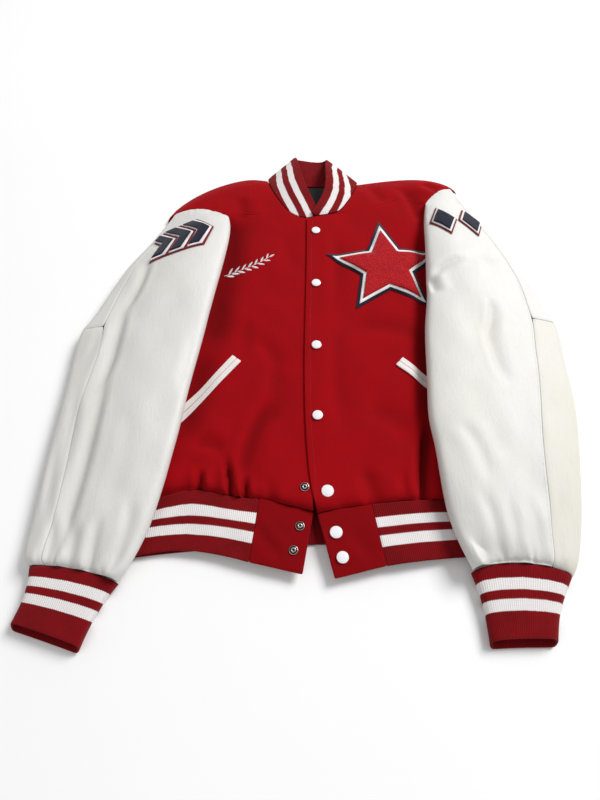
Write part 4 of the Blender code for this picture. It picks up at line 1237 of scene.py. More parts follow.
class Group:
    """A sub-assembly of cloth pieces."""

    def pieces(self) -> list[ClothPiece]:
        """The pieces, before they are made."""
        raise NotImplementedError

    def build(self, pattern: Pattern) -> Cloths:
        """Make the pieces.

        Args:
            pattern: where the pattern lies.

        Returns:
            The pieces by their CAD nodes.
        """
        made = {piece.node: piece for piece in self.pieces()}
        for piece in made.values():
            piece.build(pattern)
        return made


@dataclass(frozen=True)
class Mark:
    """One place on a band, with its distance from the seam and along the band."""

    place: Vector
    across: float
    along: float
    run: Vector
    rise: Vector


@dataclass
class Ladder:
    """Lines from a band's seam to its free edge, which carry its stripes and ribs.

    Each rung is the seam's point and the edge's point, in pattern millimetres. Where trimmed is
    set, the band was cut narrower at its seam, so its stripes keep their distance from the edge.
    """

    rungs: list[Rung]
    width: float
    trimmed: bool = False
    steps: int = 7
    levels: int = 16
    marks: list[Mark] = field(default_factory=list)
    tree: KDTree | None = None

    def fill(self) -> None:
        """Fill the ladder with closely set marks."""
        done = 0.0
        for (low, high), (next_low, next_high) in zip(self.rungs, self.rungs[1:]):
            length = ((next_low - low).length + (next_high - high).length) / 2
            for step in range(self.steps):
                share = step / self.steps
                start, end = low.lerp(next_low, share), high.lerp(next_high, share)
                run = (next_low.lerp(next_high, 0.5) - low.lerp(high, 0.5)).normalized()
                for level in range(self.levels + 1):
                    part = level / self.levels
                    height = (end - start).length if self.trimmed else self.width
                    across = self.width - (1 - part) * height
                    self.marks.append(Mark(start.lerp(end, part), across, done + share * length,
                                           run, end - start))
            done += length
        self.tree = KDTree(len(self.marks))
        for number, mark in enumerate(self.marks):
            self.tree.insert(mark.place, number)
        self.tree.balance()

    def nearest(self, place: Vector) -> Mark:
        """The mark nearest to a place.

        Args:
            place: place, in pattern millimetres.

        Returns:
            The mark.
        """
        if self.tree is None:
            self.fill()
        return self.marks[self.tree.find(place)[1]]

    def read(self, places: Array) -> tuple[Array, Array]:
        """Distance from the seam and along the band at each place.

        Args:
            places: pattern millimetres.

        Returns:
            The distance across the band and the distance along it.
        """
        across, along = np.zeros(len(places)), np.zeros(len(places))
        for number, place in enumerate(places):
            spot = Vector(place)
            mark = self.nearest(spot)
            off = spot - mark.place
            reach = mark.rise.length
            stretch = 1.0 if self.trimmed else self.width / reach
            across[number] = mark.across + off.dot(mark.rise) / reach * stretch
            along[number] = mark.along + off.dot(mark.run)
        return across, along

    def behind(self, places: Array, normals: Array, facing: float) -> Array:
        """1 where a place lies on the inner face of the band, and 0 on its outer face.

        Args:
            places: places, in pattern millimetres.
            normals: normals at the places.
            facing: 1, or -1 to turn it over.

        Returns:
            1 or 0 at each place.
        """
        inner = np.zeros(len(places))
        for number, place in enumerate(places):
            mark = self.nearest(Vector(place))
            outward = mark.run.cross(mark.rise).normalized() * facing
            inner[number] = Vector(normals[number]).dot(outward) < INNER_TURN
        return inner


@dataclass
class RibBand(ClothPiece):
    """A cloth piece of striped rib knit."""

    ladder: Ladder | None = None
    facing: float = 1.0

    def build(self, pattern: Pattern) -> Piece:
        """Make the piece and lay its stripes.

        Args:
            pattern: where the pattern lies.

        Returns:
            The piece's object.
        """
        super().build(pattern)
        mesh = self.made.data
        across, along = self.ladder.read(self.unslid)
        set_attribute(mesh, "across", across)
        set_attribute(mesh, "along", along)
        inner = self.ladder.behind(self.unslid, rows_of(mesh, "normal"), self.facing)
        set_attribute(mesh, "inner", inner)
        return self.made


# -------------------------------------------------------------------------------------- the garment
@dataclass
class Shell(Group):
    """Wool body: the back, both fronts, the hem tabs and the lining behind the neck."""

    front: Spot = (0.285, 0.63)
    back: Spot = (0.53, 0.65)
    tab: Spot = (0.075, 0.072)
    lining: Spot = (0.14, 0.085)

    def pieces(self) -> list[ClothPiece]:
        """Lay out the wool pieces.

        Returns:
            The pieces, before they are made.
        """
        back, under = "back_panel_cloth", "right_front_cloth"
        rows = [
            ("right_front", WOOL, Slot.WOOL, 3, BODY_RELIEF, self.front, 0.82, Hold.LAID, (back,)),
            ("left_front", WOOL, Slot.WOOL, 3, BODY_RELIEF, self.front, 0.82, Hold.LAID,
             (under, back)),
            ("back_panel", WOOL, Slot.WOOL, 1, FLAT, self.back, 0.86, Hold.LAID, ("floor",)),
        ]
        rows += [(f"{side.value}_hem_tab", TAB_WOOL, Slot.WOOL, 3, TAB_RELIEF, self.tab, 1.0,
                  Hold.FOLDED, ("hem_band_cloth",)) for side in Side]
        rows.append(("neck_lining", SATIN, Slot.LINING, 1, FLAT, self.lining, 0.88, Hold.LAID,
                     (back,)))
        return [ClothPiece(*row) for row in rows]


@dataclass
class Sleeves(Group):
    """Leather sleeves, each a top sleeve and an under sleeve cut at the elbow."""

    top: Spot = (0.29, 0.68)
    upper: Spot = (0.13, 0.27)
    lower: Spot = (0.17, 0.37)

    def pieces(self) -> list[ClothPiece]:
        """Lay out the six leather pieces.

        Returns:
            The pieces, before they are made.
        """
        pieces = []
        for side in Side:
            aged = ELBOW_LEATHER if side is Side.LEFT else LEATHER
            rows = (
                ("top", LEATHER, 3, self.top, 0.80, f"{side.value}_front_cloth"),
                ("upper_under", LEATHER, 2, self.upper, 0.72, "floor"),
                ("lower_under", aged, 2, self.lower, 0.88, "floor"),
            )
            pieces += [ClothPiece(f"{side.value}_{part}_sleeve", finish, Slot.LEATHER, levels,
                                  SLEEVE_RELIEFS[side], flat, share, Hold.LAID, (under,))
                       for part, finish, levels, flat, share, under in rows]
        return pieces


@dataclass
class Trim(Group):
    """Rib trim: collar, cuffs and hem band, each with two white stripes."""

    hem_width: float = 67.0
    cuff_width: float = 75.0
    collar_width: float = 66.0
    front_z: float = 15.5
    side_z: float = 10.0
    level_to: float = 90.0
    fall: float = 150.0
    hem_turn: float = 1.5
    cuff_drop: float = 7.0
    shares: tuple[float, ...] = (0.27, 0.35, 0.43, 0.53, 0.65, 0.76, 0.85, 0.92, 1.0)

    def hem_height(self, x: float) -> float:
        """Height of the front hem at x."""
        share = min(max((abs(x) - self.level_to) / self.fall, 0.0), 1.0)
        return blend(self.front_z, self.side_z, share * share * (3 - 2 * share))

    def hem_ladder(self) -> Ladder:
        """Rungs of the hem band, from the right tab round the back to the left tab.

        Returns:
            The ladder.
        """
        back = (
            (-248, -233, -248, -300), (-200, -228, -200, -293), (-100, -219, -100, -284),
            (0, -215, 0, -280), (100, -218, 100, -283), (195, -226, 195, -291),
            (238, -230, 238, -297),
        )
        rungs = self.front_rungs(((-8, -243), (-250, -231)), 13.0, RIGHT_HEM_FOOT)
        rungs.append(self.rung((-255, -232, -255, -301), 5.0, 4.2))
        rungs += [self.rung(row, 1.0, 1.0) for row in back]
        rungs.append(self.rung((245, -229, 245, -298), 5.0, 4.2))
        rungs += reversed(self.front_rungs(((-3, -245), (240, -228)), 9.0, LEFT_HEM_FOOT))
        return Ladder(rungs, self.hem_width)

    def front_rungs(self, seam: tuple[Spot, Spot], bow: float, foot: Line) -> list[Rung]:
        """Rungs of one front half of the hem band, from its tab to its side.

        Args:
            seam: ends of the seam with the front, from the centre out.
            bow: rise of the seam between them.
            foot: free edge, from the centre out.

        Returns:
            The rungs.
        """
        length = polyline_length(foot)
        rungs = []
        for share in self.shares:
            x, y = between(*seam, share)
            y += bow * max(math.sin(math.pi * share), 0.0) ** 0.8
            left = share * length
            for start, end in zip(foot, foot[1:]):
                step = math.dist(start, end)
                if left <= step + 1e-6:
                    break
                left -= step
            low = between(start, end, left / step)
            edge_z = self.hem_height(low[0]) - self.hem_turn
            rungs.append(self.rung((x, y, *low), self.hem_height(x), edge_z))
        return rungs

    def rung(self, row: tuple[float, ...], seam_z: float, edge_z: float) -> Rung:
        """One rung from its plan and heights."""
        return Vector((row[0], row[1], seam_z)), Vector((row[2], row[3], edge_z))

    def cuff_ladder(self, side: Side) -> Ladder:
        """Rungs round a cuff, over its top and back under it.

        Args:
            side: which side.

        Returns:
            The ladder.
        """
        over = ((0.0, 0.0), (0.03, 0.7), (0.10, 1.0), (0.25, 1.0), (0.5, 1.0), (0.75, 1.0),
                (0.90, 1.0), (0.97, 0.7), (1.0, 0.0))
        plan = over + tuple((share, -level) for share, level in over[-2::-1])
        rungs = []
        for share, level in plan:
            ends = []
            for start, end, radius, bow, drop in self.cuff_ends(side):
                x, y = between(start, end, share)
                if 0 < share < 1:
                    y += bow * math.sin(math.pi * share) ** 0.6 * (0.5 + 0.5 * max(level, 0.0))
                ends.append(Vector((x, y - (drop if level < 0 else 0.0), radius * (1 + level))))
            rungs.append(tuple(ends))
        return Ladder(rungs, self.cuff_width)

    def cuff_ends(self, side: Side) -> tuple[tuple[Spot, Spot, float, float, float], ...]:
        """Corners, half thickness, bow and drop of a cuff's seam, and then of its mouth.

        Args:
            side: which side.

        Returns:
            A row for each of the two.
        """
        if side is Side.RIGHT:
            return (((-243, -332), (-356, -313), 10.0, 6.0, 0.0),
                    ((-277, -403), (-364, -376), 8.5, 1.0, self.cuff_drop))
        return (((182, -319), (305, -325), 10.0, 12.0, 0.0),
                ((193, -397), (274, -395), 8.5, 2.0, self.cuff_drop))

    def collar_ladder(self) -> Ladder:
        """Rungs of the collar, from the right front round the back to the left front.

        Returns:
            The ladder.
        """
        rows = (
            (-14, 262, 22, 9, 273, 21), (-33, 268, 23, 2, 290, 23), (-48, 281, 24, -5, 308, 27),
            (-64, 309, 24, -13, 328, 30), (-76, 338, 22, -21, 353, 31.5),
            (-81, 357, 17, -26, 384, 29.5), (-84, 371, 9, -31, 410, 24),
            (-81, 372, 6.4, -35, 419, 15.5), (-77, 373, 0.6, -30, 423, 6.5),
            (-60, 369, 0, -20, 424, 2.2), (-30, 360, 0, -12, 423, 0.6), (0, 356, 0, -5, 422, 0.2),
            (30, 358, 0, 3, 421, 0.6), (56, 362, 0, 10, 420, 2.2), (70, 368, 0.6, 17, 419, 6.5),
            (75, 366, 6.4, 23, 414, 15.5), (77, 361, 14, 19, 388, 28.5),
            (71, 337, 22, 20, 356, 31.5), (63, 314, 25, 18, 328, 31.5),
            (53, 296, 26, 13, 310, 30.5), (43, 279, 27, 6, 293, 29.5),
            (29, 271.5, 27, 1, 284, 29.1), (13, 266, 27, -2.5, 277, 28.7),
            (0, 264.5, 27, -6, 271, 28),
        )
        rungs = [(Vector(row[:3]), Vector(row[3:])) for row in rows]
        return Ladder(rungs, self.collar_width, trimmed=True)

    def pieces(self) -> list[ClothPiece]:
        """Lay out the four rib pieces.

        Returns:
            The pieces, before they are made.
        """
        folded = Hold.FOLDED
        pieces = [
            RibBand("hem_band", HEM_RIB, Slot.RIB, 3, HEM_RELIEF, (0.86, 0.067), 1.0, folded,
                    ("floor",), ladder=self.hem_ladder()),
            RibBand("collar", COLLAR_RIB, Slot.RIB, 3, FLAT, (0.40, 0.065), 1.0, folded,
                    ("back_panel_cloth",), ladder=self.collar_ladder(), facing=-1.0),
        ]
        pieces += [RibBand(f"{side.value}_cuff", CUFF_RIB, Slot.RIB, 3, FLAT, (0.22, 0.075), 1.0,
                           folded, ("floor",), rim_angle=60.0, ladder=self.cuff_ladder(side),
                           facing=1.0 if side is Side.RIGHT else -1.0) for side in Side]
        return pieces


@dataclass
class Patches(Group):
    """Felt and chenille patches: a star, three chevrons and two lozenges.

    The puffs are how far the pile of a face stands up in its middle.
    """

    chenille_puff: float = 0.9
    felt_puff: float = 0.5
    rim_angle: float = 40.0

    def pieces(self) -> list[ClothPiece]:
        """Lay out every layer of every patch.

        Returns:
            The pieces, before they are made.
        """
        right, left = SLEEVE_RELIEFS[Side.RIGHT], SLEEVE_RELIEFS[Side.LEFT]
        backing, outline = (DARK_RED, Slot.RED, 0.0), (WHITE, Slot.WHITE, 0.0)
        face = (NAVY, Slot.NAVY, self.felt_puff)
        rows = [
            ("chest_star_backing", BODY_RELIEF, NAVY, Slot.NAVY, 0.0),
            ("chest_star_outline", BODY_RELIEF, *outline),
            ("chest_star_face", BODY_RELIEF, CHENILLE, Slot.CHENILLE, self.chenille_puff),
            ("right_badge_backing", right, *backing),
        ]
        for number in (1, 2, 3):
            for layer, looks in (("outline", outline), ("face", face)):
                rows.append((f"right_badge_chevron_{number}_{layer}", right, *looks))
        for place in ("inner", "outer"):
            for layer, looks in (("backing", backing), ("outline", outline), ("face", face)):
                rows.append((f"left_badge_{place}_{layer}", left, *looks))
        return [ClothPiece(node, finish, slot, 3 if puff else 2, relief, puff=puff, sharpness=1.0,
                           rim_angle=self.rim_angle) for node, relief, finish, slot, puff in rows]


@dataclass
class Welts(Group):
    """Leather strips of the two slant pockets."""

    rim_angle: float = 40.0
    sharpness: float = 0.55

    def pieces(self) -> list[ClothPiece]:
        """Lay out the four strips.

        Returns:
            The pieces, before they are made.
        """
        return [ClothPiece(f"{side.value}_pocket_{strip}_welt", WELT_LEATHER, Slot.LEATHER, 3,
                           BODY_RELIEF, sharpness=self.sharpness, rim_angle=self.rim_angle)
                for side in Side for strip in ("upper", "lower")]


@dataclass(frozen=True)
class Seat:
    """Where a CAD snap stands, in metres."""

    base: Vector
    normal: Vector
    radius: float
    height: float

    @classmethod
    def of(cls, node: str) -> "Seat":
        """Read the seat from a CAD node.

        Args:
            node: CAD node.

        Returns:
            The seat.
        """
        places = np.unique(rows_of(bpy.data.objects[node].data, "co").round(6), axis=0)
        centre = places.mean(0)
        spread = np.linalg.svd(places - centre, full_matrices=False)[2]
        normal = spread[2] if spread[2][2] > 0 else -spread[2]
        heights = (places - centre) @ normal
        flat = (places - centre) - np.outer(heights, normal)
        radius = float(np.linalg.norm(flat, axis=1).max())
        base = centre + normal * heights.min()
        return cls(Vector(base), Vector(normal), radius, float(heights.max() - heights.min()))


@dataclass
class Snaps:
    """Seven enamelled snap caps and the three studs that show on the under front.

    Half sections are shares of the radius and height. A cap is a shallow dome with a rolled rim and
    on some a groove between; a stud is a flanged ring round a hollow post.
    """

    dome: Line = ((0.0, 1.0), (0.30, 0.985), (0.55, 0.93), (0.74, 0.84))
    groove: Line = ((0.765, 0.80), (0.785, 0.72), (0.80, 0.72), (0.815, 0.79))
    rim: Line = ((0.86, 0.77), (0.93, 0.68), (0.98, 0.52), (1.0, 0.36), (0.985, 0.20),
                 (0.94, 0.08), (0.86, 0.02), (0.0, 0.0))
    post: Line = ((0.0, 0.24), (0.22, 0.24), (0.26, 0.32), (0.28, 0.94), (0.34, 1.0), (0.46, 1.0),
                  (0.53, 0.92), (0.56, 0.55), (0.60, 0.42), (0.70, 0.38), (0.84, 0.44),
                  (0.93, 0.42), (1.0, 0.26), (1.0, 0.12), (0.95, 0.02), (0.0, 0.0))
    steps: int = 48
    flatness: float = 0.66
    grooved: tuple[int, ...] = (5, 6, 7)
    tab_from: float = -245.0
    # Where the well inside a stud's post starts, how soon it fades in and how far out it reaches;
    # the nickel paints it dark as shade.
    well_depth: float = 0.42
    well_fade: float = 0.12
    well_reach: float = 0.86

    def profile(self, rows: Line, seat: Seat, flatness: float) -> list[Spot]:
        """Half section of a snap of this seat, in millimetres."""
        return [(r * (seat.radius / MM), z * (seat.height / MM * flatness)) for r, z in rows]

    def turned(self, profile: list[Spot]) -> Form:
        """Spin a half section into a closed form, in metres.

        Args:
            profile: half section, in millimetres.

        Returns:
            The form.
        """
        shape = bmesh.new()
        chain = [shape.verts.new((r * MM, 0.0, z * MM)) for r, z in profile]
        edges = [shape.edges.new(pair) for pair in zip(chain, chain[1:])]
        bmesh.ops.spin(shape, geom=chain + edges, cent=(0, 0, 0), axis=(0, 0, 1), dvec=(0, 0, 0),
                       angle=2 * math.pi, steps=self.steps, use_merge=True, use_duplicate=False)
        bmesh.ops.remove_doubles(shape, verts=shape.verts, dist=1e-6)
        bmesh.ops.recalc_face_normals(shape, faces=shape.faces)
        return shape

    def place(self, node: str, seat: Seat, profile: list[Spot], finish: Finish, slot: Slot,
              pattern: Pattern) -> None:
        """Make one snap on its seat.

        Args:
            node: CAD node that the snap stands for.
            seat: where the snap stands.
            profile: half section, in millimetres.
            finish: finish of the snap.
            slot: material slot of the snap; not used.
            pattern: where the pattern lies.
        """
        shape = self.turned(profile)
        reach, top = (max(spot[axis] for spot in profile) for axis in (0, 1))
        depths = 1 - np.array([vertex.co.z for vertex in shape.verts]) / (top * MM)
        reaches = np.array([math.hypot(vertex.co.x, vertex.co.y) for vertex in shape.verts])
        # Painted shade: mask of the well inside a stud's post, which the nickel of a stud paints
        # almost black.
        well_shade = smooth((depths - self.well_depth) / self.well_fade)
        well_shade = well_shade * (reaches < self.well_reach * reach * MM)
        turn = Vector((0, 0, 1)).rotation_difference(seat.normal).to_matrix().to_4x4()
        bmesh.ops.transform(shape, matrix=turn, verts=shape.verts)
        spot = pattern.millimetres(np.array([seat.base]))
        relief = TAB_RELIEF if spot[0][1] < self.tab_from else BODY_RELIEF
        lift = Vector((0, 0, float(relief.lift(spot)[0]) * MM))
        bmesh.ops.translate(shape, vec=seat.base + lift, verts=shape.verts)
        mesh = mesh_of(f"{node}_form", shape)
        set_attribute(mesh, "hollow", well_shade)
        shade_smooth(mesh)
        made = link_mesh(f"{node}_form", mesh, finish)
        declare(made, node)
        LOG.info("%s", made.name)

    def build(self, pattern: Pattern) -> None:
        """Make every snap.

        Args:
            pattern: where the pattern lies.
        """
        for number in range(1, 8):
            node = f"snap_cap_{number}"
            seat = Seat.of(node)
            rows = self.dome + (self.groove if number in self.grooved else ()) + self.rim
            profile = self.profile(rows, seat, self.flatness)
            self.place(node, seat, profile, ENAMEL, Slot.ENAMEL, pattern)
        for number in range(1, 4):
            node = f"snap_stud_{number}"
            seat = Seat.of(node)
            self.place(node, seat, self.profile(self.post, seat, 1.0), NICKEL, Slot.NICKEL, pattern)


# ------------------------------------------------------------------------------------------- thread
DROP_FROM = 300.0


class Ground:
    """The visible face of some pieces, on which thread is laid."""

    def __init__(self, pieces: list[Piece], pattern: Pattern) -> None:
        """Take the pieces' faces.

        Args:
            pieces: the pieces that it is made of.
            pattern: where the pattern lies.
        """
        self.pattern = pattern
        self.ends: list[int] = []
        corners: list[Vector] = []
        faces: list[tuple[int, ...]] = []
        for piece in pieces:
            first = len(corners)
            corners += [vertex.co.copy() for vertex in piece.data.vertices]
            faces += [tuple(first + index for index in face.vertices)
                      for face in piece.data.polygons]
            self.ends.append(len(faces))
        self.tree = BVHTree.FromPolygons(corners, faces)

    def drop(self, x: float,
             y: float) -> tuple[Vector | None, Vector | None, int | None, float | None]:
        """Place, normal, face and distance of what a plumb line from above meets first."""
        return self.tree.ray_cast(self.pattern.point(x, y, DROP_FROM), Vector((0, 0, -1)))

    def find(self, x: float, y: float) -> tuple[Vector, Vector] | None:
        """Highest point of the cloth at a pattern place, with its normal."""
        spot, normal, _, _ = self.drop(x, y)
        return None if spot is None else (spot, normal)

    def owner(self, x: float, y: float) -> int:
        """Number of the piece that is on top at a pattern place, or -1.

        Args:
            x: x of the place, in pattern millimetres.
            y: y of the place, in pattern millimetres.

        Returns:
            The number.
        """
        face = self.drop(x, y)[2]
        if face is None:
            return -1
        return next(number for number, end in enumerate(self.ends) if face < end)


def add_stitch(shape: Form, middle: Vector, axes: tuple[Vector, ...]) -> None:
    """Add a small round of thread with these half axes to a shared mesh.

    Args:
        shape: the form.
        middle: middle of the stitch.
        axes: its three half axes.
    """
    made = bmesh.ops.create_icosphere(shape, subdivisions=1, radius=1.0)
    frame = Matrix(axes).transposed().to_4x4()
    frame.translation = middle
    bmesh.ops.transform(shape, matrix=frame, verts=made["verts"])


@dataclass
class StitchRun:
    """A run of stitches along a line: small thread loops, each sunk a little at its ends."""

    line: Line
    length: float = 2.6
    gap: float = 0.9
    thick: float = 0.42
    rise: float = 0.10
    step_limit: float = 2.5
    overlap: float = 1.05

    def spots(self) -> list[tuple[Spot, Spot]]:
        """Ends of each stitch.

        Returns:
            A pair of ends for each stitch.
        """
        found = []
        for start, end in zip(self.line, self.line[1:]):
            total = math.dist(start, end)
            reach = 0.0
            while reach + self.length <= total:
                ends = (reach / total, (reach + self.length) / total)
                found.append(tuple(between(start, end, share) for share in ends))
                reach += self.length + self.gap
        return found

    def add_to(self, shape: Form, ground: Ground) -> None:
        """Add the run's stitches to a shared mesh.

        Args:
            shape: the form.
            ground: cloth that it is sewn to.
        """
        for start, end in self.spots():
            low, high = ground.find(*start), ground.find(*end)
            if low is None or high is None or abs(low[0].z - high[0].z) > self.step_limit * MM:
                continue
            run = high[0] - low[0]
            normal = (low[1] + high[1]).normalized()
            across = normal.cross(run).normalized()
            middle = (low[0] + high[0]) / 2 + normal * self.rise * MM
            half = self.thick * MM / 2
            add_stitch(shape, middle, (run / 2 * self.overlap, across * half, normal * half))


def finish_thread(name: str, shape: Form, finish: Finish) -> Piece:
    """A joined mesh of thread as a piece.

    Args:
        name: name of the new one.
        shape: the form.
        finish: finish of the piece.

    Returns:
        The piece of thread.
    """
    bmesh.ops.recalc_face_normals(shape, faces=shape.faces)
    mesh = mesh_of(name, shape)
    shade_smooth(mesh)
    made = link_mesh(name, mesh, finish)
    declare(made)
    LOG.info("%s: %d faces", name, len(mesh.polygons))
    return made


@dataclass
class Stitching:
    """Top stitching on the welts, the front edge and the sleeves' seams.

    A welt's row is a place on its middle line and the way along it. The sleeves' reach is the
    lowest and the highest y and the step, and the arm's limits are where its edge is looked for.
    """

    welt_inset: float = 6.6
    welt_length: float = 143.0
    welt_start: float = 2.0
    welt_rows: tuple[tuple[float, ...], ...] = (
        (-116, -16, -0.63, -0.777), (118, -20, 0.76, -0.65),
    )
    edge: Line = ((-13, -232), (-13, -200), (-18, -125), (-19, -45), (-18, 30), (-16, 95),
                  (-15, 150), (-14, 195), (-14, 232), (-12, 258))
    edge_inset: float = 8.0
    edge_rise: float = 0.02
    sleeve_inset: float = 2.6
    sleeve_reach: tuple[float, float, float] = (-306.0, 150.0, 9.0)
    arm_limits: tuple[float, float, float] = (380.0, 150.0, -0.5)

    def sleeve_line(self, side: Side, ground: Ground) -> list[Spot]:
        """A line on the top sleeve just inside its seam with the under sleeve.

        Args:
            side: which sleeve.
            ground: the sleeve's three pieces, the top sleeve first.

        Returns:
            The line, from the wrist up.
        """
        outward = -1 if side is Side.RIGHT else 1
        low, high, step = self.sleeve_reach
        line = []
        for number in range(int((high - low) / step)):
            y = low + number * step
            x = next((reach for reach in np.arange(*self.arm_limits)
                      if ground.owner(outward * reach, y) == 0), None)
            if x is not None:
                line.append((outward * (x - self.sleeve_inset), y))
        return [((a[0] + b[0] + c[0]) / 3, b[1]) for a, b, c in zip(line, line[1:], line[2:])]

    def welt_lines(self) -> list[Line]:
        """A line near the outer edge of each strip.

        Returns:
            The lines.
        """
        lines = []
        for x, y, way_x, way_y in self.welt_rows:
            size = math.hypot(way_x, way_y)
            way = (way_x / size, way_y / size)
            across = (-way[1], way[0])
            for offset in (self.welt_inset, -self.welt_inset):
                start = (x + across[0] * offset + way[0] * self.welt_start,
                         y + across[1] * offset + way[1] * self.welt_start)
                end = (start[0] + way[0] * self.welt_length, start[1] + way[1] * self.welt_length)
                lines.append((start, end))
        return lines

    def sew(self, name: str, lines: list[Line], ground: Ground, finish: Finish,
            rise: float = StitchRun.rise) -> Piece:
        """Sew some lines as one piece of thread.

        Args:
            name: name of the piece.
            lines: lines to sew along.
            ground: cloth that they are sewn to.
            finish: finish of the thread.
            rise: height of a stitch's middle above the cloth.

        Returns:
            The piece of thread.
        """
        shape = bmesh.new()
        for line in lines:
            StitchRun(line, rise=rise).add_to(shape, ground)
        return finish_thread(name, shape, finish)

    def build(self, cloths: Cloths, pattern: Pattern) -> dict[str, Piece]:
        """Make the runs.

        Args:
            cloths: cloth pieces by their CAD nodes.
            pattern: where the pattern lies.

        Returns:
            The pieces of thread by name.
        """
        welts = Ground([cloths[name].made for name in cloths if "welt" in name], pattern)
        front = Ground([cloths["left_front"].made], pattern)
        placket = tuple((x + self.edge_inset, y) for x, y in self.edge)
        made = {
            "welts": self.sew("welt_stitching", self.welt_lines(), welts, WHITE_THREAD),
            "placket": self.sew("front_edge_stitching", [placket], front, RED_THREAD,
                                self.edge_rise),
        }
        for side in Side:
            arm = Ground([cloths[f"{side.value}_{part}_sleeve"].made
                          for part in ("top", "upper_under", "lower_under")], pattern)
            name = f"{side.value}_sleeve_stitching"
            made[name] = self.sew(name, [tuple(self.sleeve_line(side, arm))], arm, CREAM_THREAD)
        return made


@dataclass
class Sprig:
    """Satin-stitched laurel sprig on the right chest."""

    stem: Line = ((-146, 145), (-134, 151), (-118, 155), (-102, 160), (-88, 167), (-74, 177))
    leaves: int = 15
    leaf_length: float = 14.5
    leaf_width: float = 5.6
    leaf_angle: float = 40.0
    thickness: float = 0.9
    rise: float = 0.18
    row: float = 0.62
    row_width: float = 0.40
    slant: float = 0.45

    def build(self, cloths: Cloths, pattern: Pattern) -> Piece:
        """Make the stem and its leaves as one mesh of thread.

        Args:
            cloths: cloth pieces by their CAD nodes.
            pattern: where the pattern lies.

        Returns:
            The piece of thread.
        """
        ground = Ground([cloths["right_front"].made], pattern)
        shape = bmesh.new()
        for number in range(self.leaves):
            share = 0.05 + 0.95 * number / (self.leaves - 1)
            spot, way = self.along_stem(share)
            side = 0 if number == self.leaves - 1 else 1 if number % 2 else -1
            length = self.leaf_length * (1.05 - 0.35 * share)
            angle = math.atan2(way[1], way[0]) + side * math.radians(self.leaf_angle)
            reach = length * (0.55 if side else 0.45)
            centre = (spot[0] + math.cos(angle) * reach, spot[1] + math.sin(angle) * reach)
            self.leaf(shape, ground, centre, angle, length, self.leaf_width * (1.05 - 0.25 * share))
        StitchRun(self.stem, length=2.4, gap=-0.9, thick=1.1, rise=0.2).add_to(shape, ground)
        return finish_thread("chest_sprig_embroidery", shape, WHITE_THREAD)

    def along_stem(self, share: float) -> tuple[Spot, Spot]:
        """Place and direction at a share of the stem.

        Args:
            share: share of the way, from 0 to 1.

        Returns:
            The place, and the direction as a unit step.
        """
        reach = share * (len(self.stem) - 1)
        index = min(int(reach), len(self.stem) - 2)
        start, end = self.stem[index], self.stem[index + 1]
        size = math.dist(start, end)
        way = ((end[0] - start[0]) / size, (end[1] - start[1]) / size)
        return between(start, end, reach - index), way

    def leaf(self, shape: Form, ground: Ground, centre: Spot, angle: float,
             length: float, width: float) -> None:
        """One pointed leaf of slanting satin stitches.

        Args:
            shape: mesh that takes the leaf.
            ground: cloth it is sewn to.
            centre: middle of the leaf.
            angle: direction of its tip.
            length: length of the leaf.
            width: width of the leaf at its middle.
        """
        found = ground.find(*centre)
        if found is None:
            return
        spot, normal = found
        run = Vector((math.cos(angle), math.sin(angle), 0.0))
        run = (run - normal * run.dot(normal)).normalized()
        across = normal.cross(run)
        slant = (across + run * self.slant).normalized()
        forward = normal.cross(slant)
        count = max(int(length / self.row), 6)
        for number in range(count):
            share = (number + 0.5) / count
            half = width / 2 * math.sin(math.pi * share) ** 0.75
            middle = spot + run * (share - 0.5) * length * MM + normal * self.rise * MM
            add_stitch(shape, middle, (slant * max(half, 0.5) * MM, forward * self.row_width * MM,
                                       normal * self.thickness / 2 * MM))


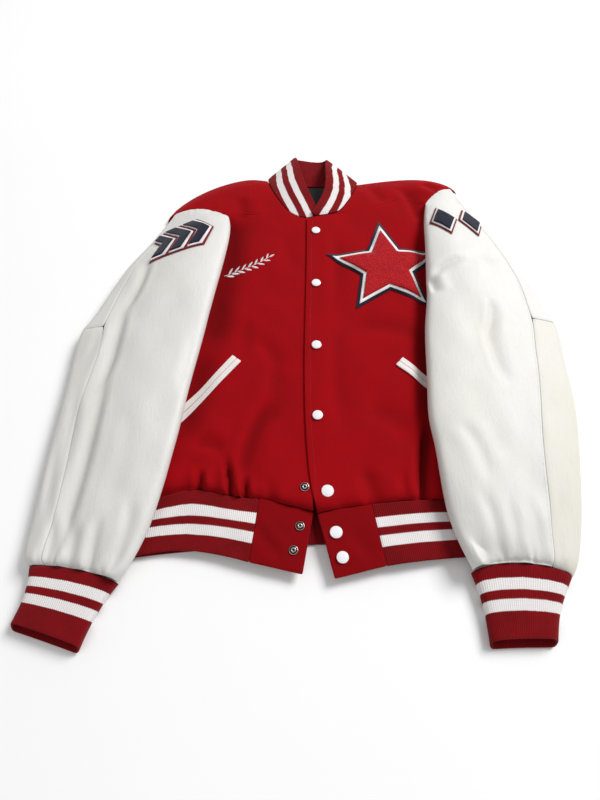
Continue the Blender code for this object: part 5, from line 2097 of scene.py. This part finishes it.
@dataclass
class Studio:
    """Pale floor, soft light and the camera."""

    eye: Triple = (-0.025, -0.488, 0.750)
    tilt: float = 29.0
    lens: float = 27.0
    sensor: float = 36.0
    sight: float = 20.0
    floor_size: float = 4.0
    floor_z: float = -0.0004
    room: float = 0.42
    lamps: tuple[tuple[str, Triple, float, float], ...] = (
        ("key", (3.0, 2.3, 3.5), 2.1, 262.0), ("fill", (-1.6, -1.6, 2.6), 2.0, 12.0),
    )

    def camera(self, pattern: Pattern) -> None:
        """Put the camera over the hem, looking down at the jacket.

        Args:
            pattern: where the pattern lies.
        """
        data = bpy.data.cameras.new("camera")
        data.lens = self.lens
        data.sensor_width = self.sensor
        data.clip_end = self.sight
        camera = bpy.data.objects.new("camera", data)
        x, y, z = self.eye
        camera.location = (x + pattern.origin_x, y + pattern.origin_y, z)
        camera.rotation_euler = (math.radians(self.tilt), 0.0, 0.0)
        bpy.context.scene.collection.objects.link(camera)
        bpy.context.scene.camera = camera

    def floor(self) -> None:
        """Lay the floor."""
        shape = bmesh.new()
        bmesh.ops.create_grid(shape, x_segments=8, y_segments=8, size=self.floor_size)
        bmesh.ops.translate(shape, vec=(0, 0, self.floor_z), verts=shape.verts)
        link_mesh("floor", mesh_of("floor", shape), FLOOR)

    def light(self, name: str, place: Triple, size: float, power: float) -> None:
        """A soft square light aimed at the jacket.

        Args:
            name: name of the new one.
            place: where it is.
            size: edge of the lamp, in metres.
            power: power, in watts.
        """
        data = bpy.data.lights.new(name, "AREA")
        data.size = size
        data.energy = power
        lamp = bpy.data.objects.new(name, data)
        lamp.location = place
        lamp.rotation_euler = (-Vector(place)).to_track_quat("-Z", "Y").to_euler()
        bpy.context.scene.collection.objects.link(lamp)

    def build(self, pattern: Pattern) -> None:
        """Set up camera, floor and lights.

        Args:
            pattern: where the pattern lies.
        """
        self.camera(pattern)
        self.floor()
        world = bpy.data.worlds.new("room")
        bpy.context.scene.world = world
        world.use_nodes = True
        ground = world.node_tree.nodes["Background"]
        ground.inputs["Color"].default_value = (1.0, 1.0, 1.0, 1.0)
        ground.inputs["Strength"].default_value = self.room
        for lamp in self.lamps:
            self.light(*lamp)
        bpy.context.scene.view_settings.view_transform = "Standard"


def declare_sheets(cloths: Cloths, threads: dict[str, Piece]) -> None:
    """Gather the small pieces on every sheet of cloth and pass them to its cut, which does nothing.

    Args:
        cloths: cloth pieces by their CAD nodes.
        threads: pieces of thread by their names.
    """
    carried = (
        ("left_front", ("chest_star", "left_pocket"), "placket"),
        ("right_front", ("right_pocket",), None),
        ("right_top_sleeve", ("right_badge",), "right_sleeve_stitching"),
        ("left_top_sleeve", ("left_badge",), "left_sleeve_stitching"),
    )
    on_piece: dict[str, list[Piece]] = {}
    for node, starts, thread in carried:
        on_piece[node] = [cloths[name].made for name in cloths if name.startswith(starts)]
        on_piece[node] += [threads[thread]] if thread else []
    for node, piece in cloths.items():
        if piece.flat is not None:
            piece.cut(on_piece.get(node, []))


def main() -> None:
    """Build the jacket's looks in order."""
    logging.basicConfig(level=logging.INFO, format="%(name)s: %(message)s")
    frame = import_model()
    LOG.info("model has %d nodes", len(frame["nodes"]))
    pattern = Pattern.found()
    Studio().build(pattern)
    cloths: Cloths = {}
    for group in (Shell(), Sleeves(), Trim(), Patches(), Welts()):
        cloths.update(group.build(pattern))
    Snaps().build(pattern)
    threads = Stitching().build(cloths, pattern)
    threads["sprig"] = Sprig().build(cloths, pattern)
    declare_sheets(cloths, threads)


if __name__ == "__main__":
    main()
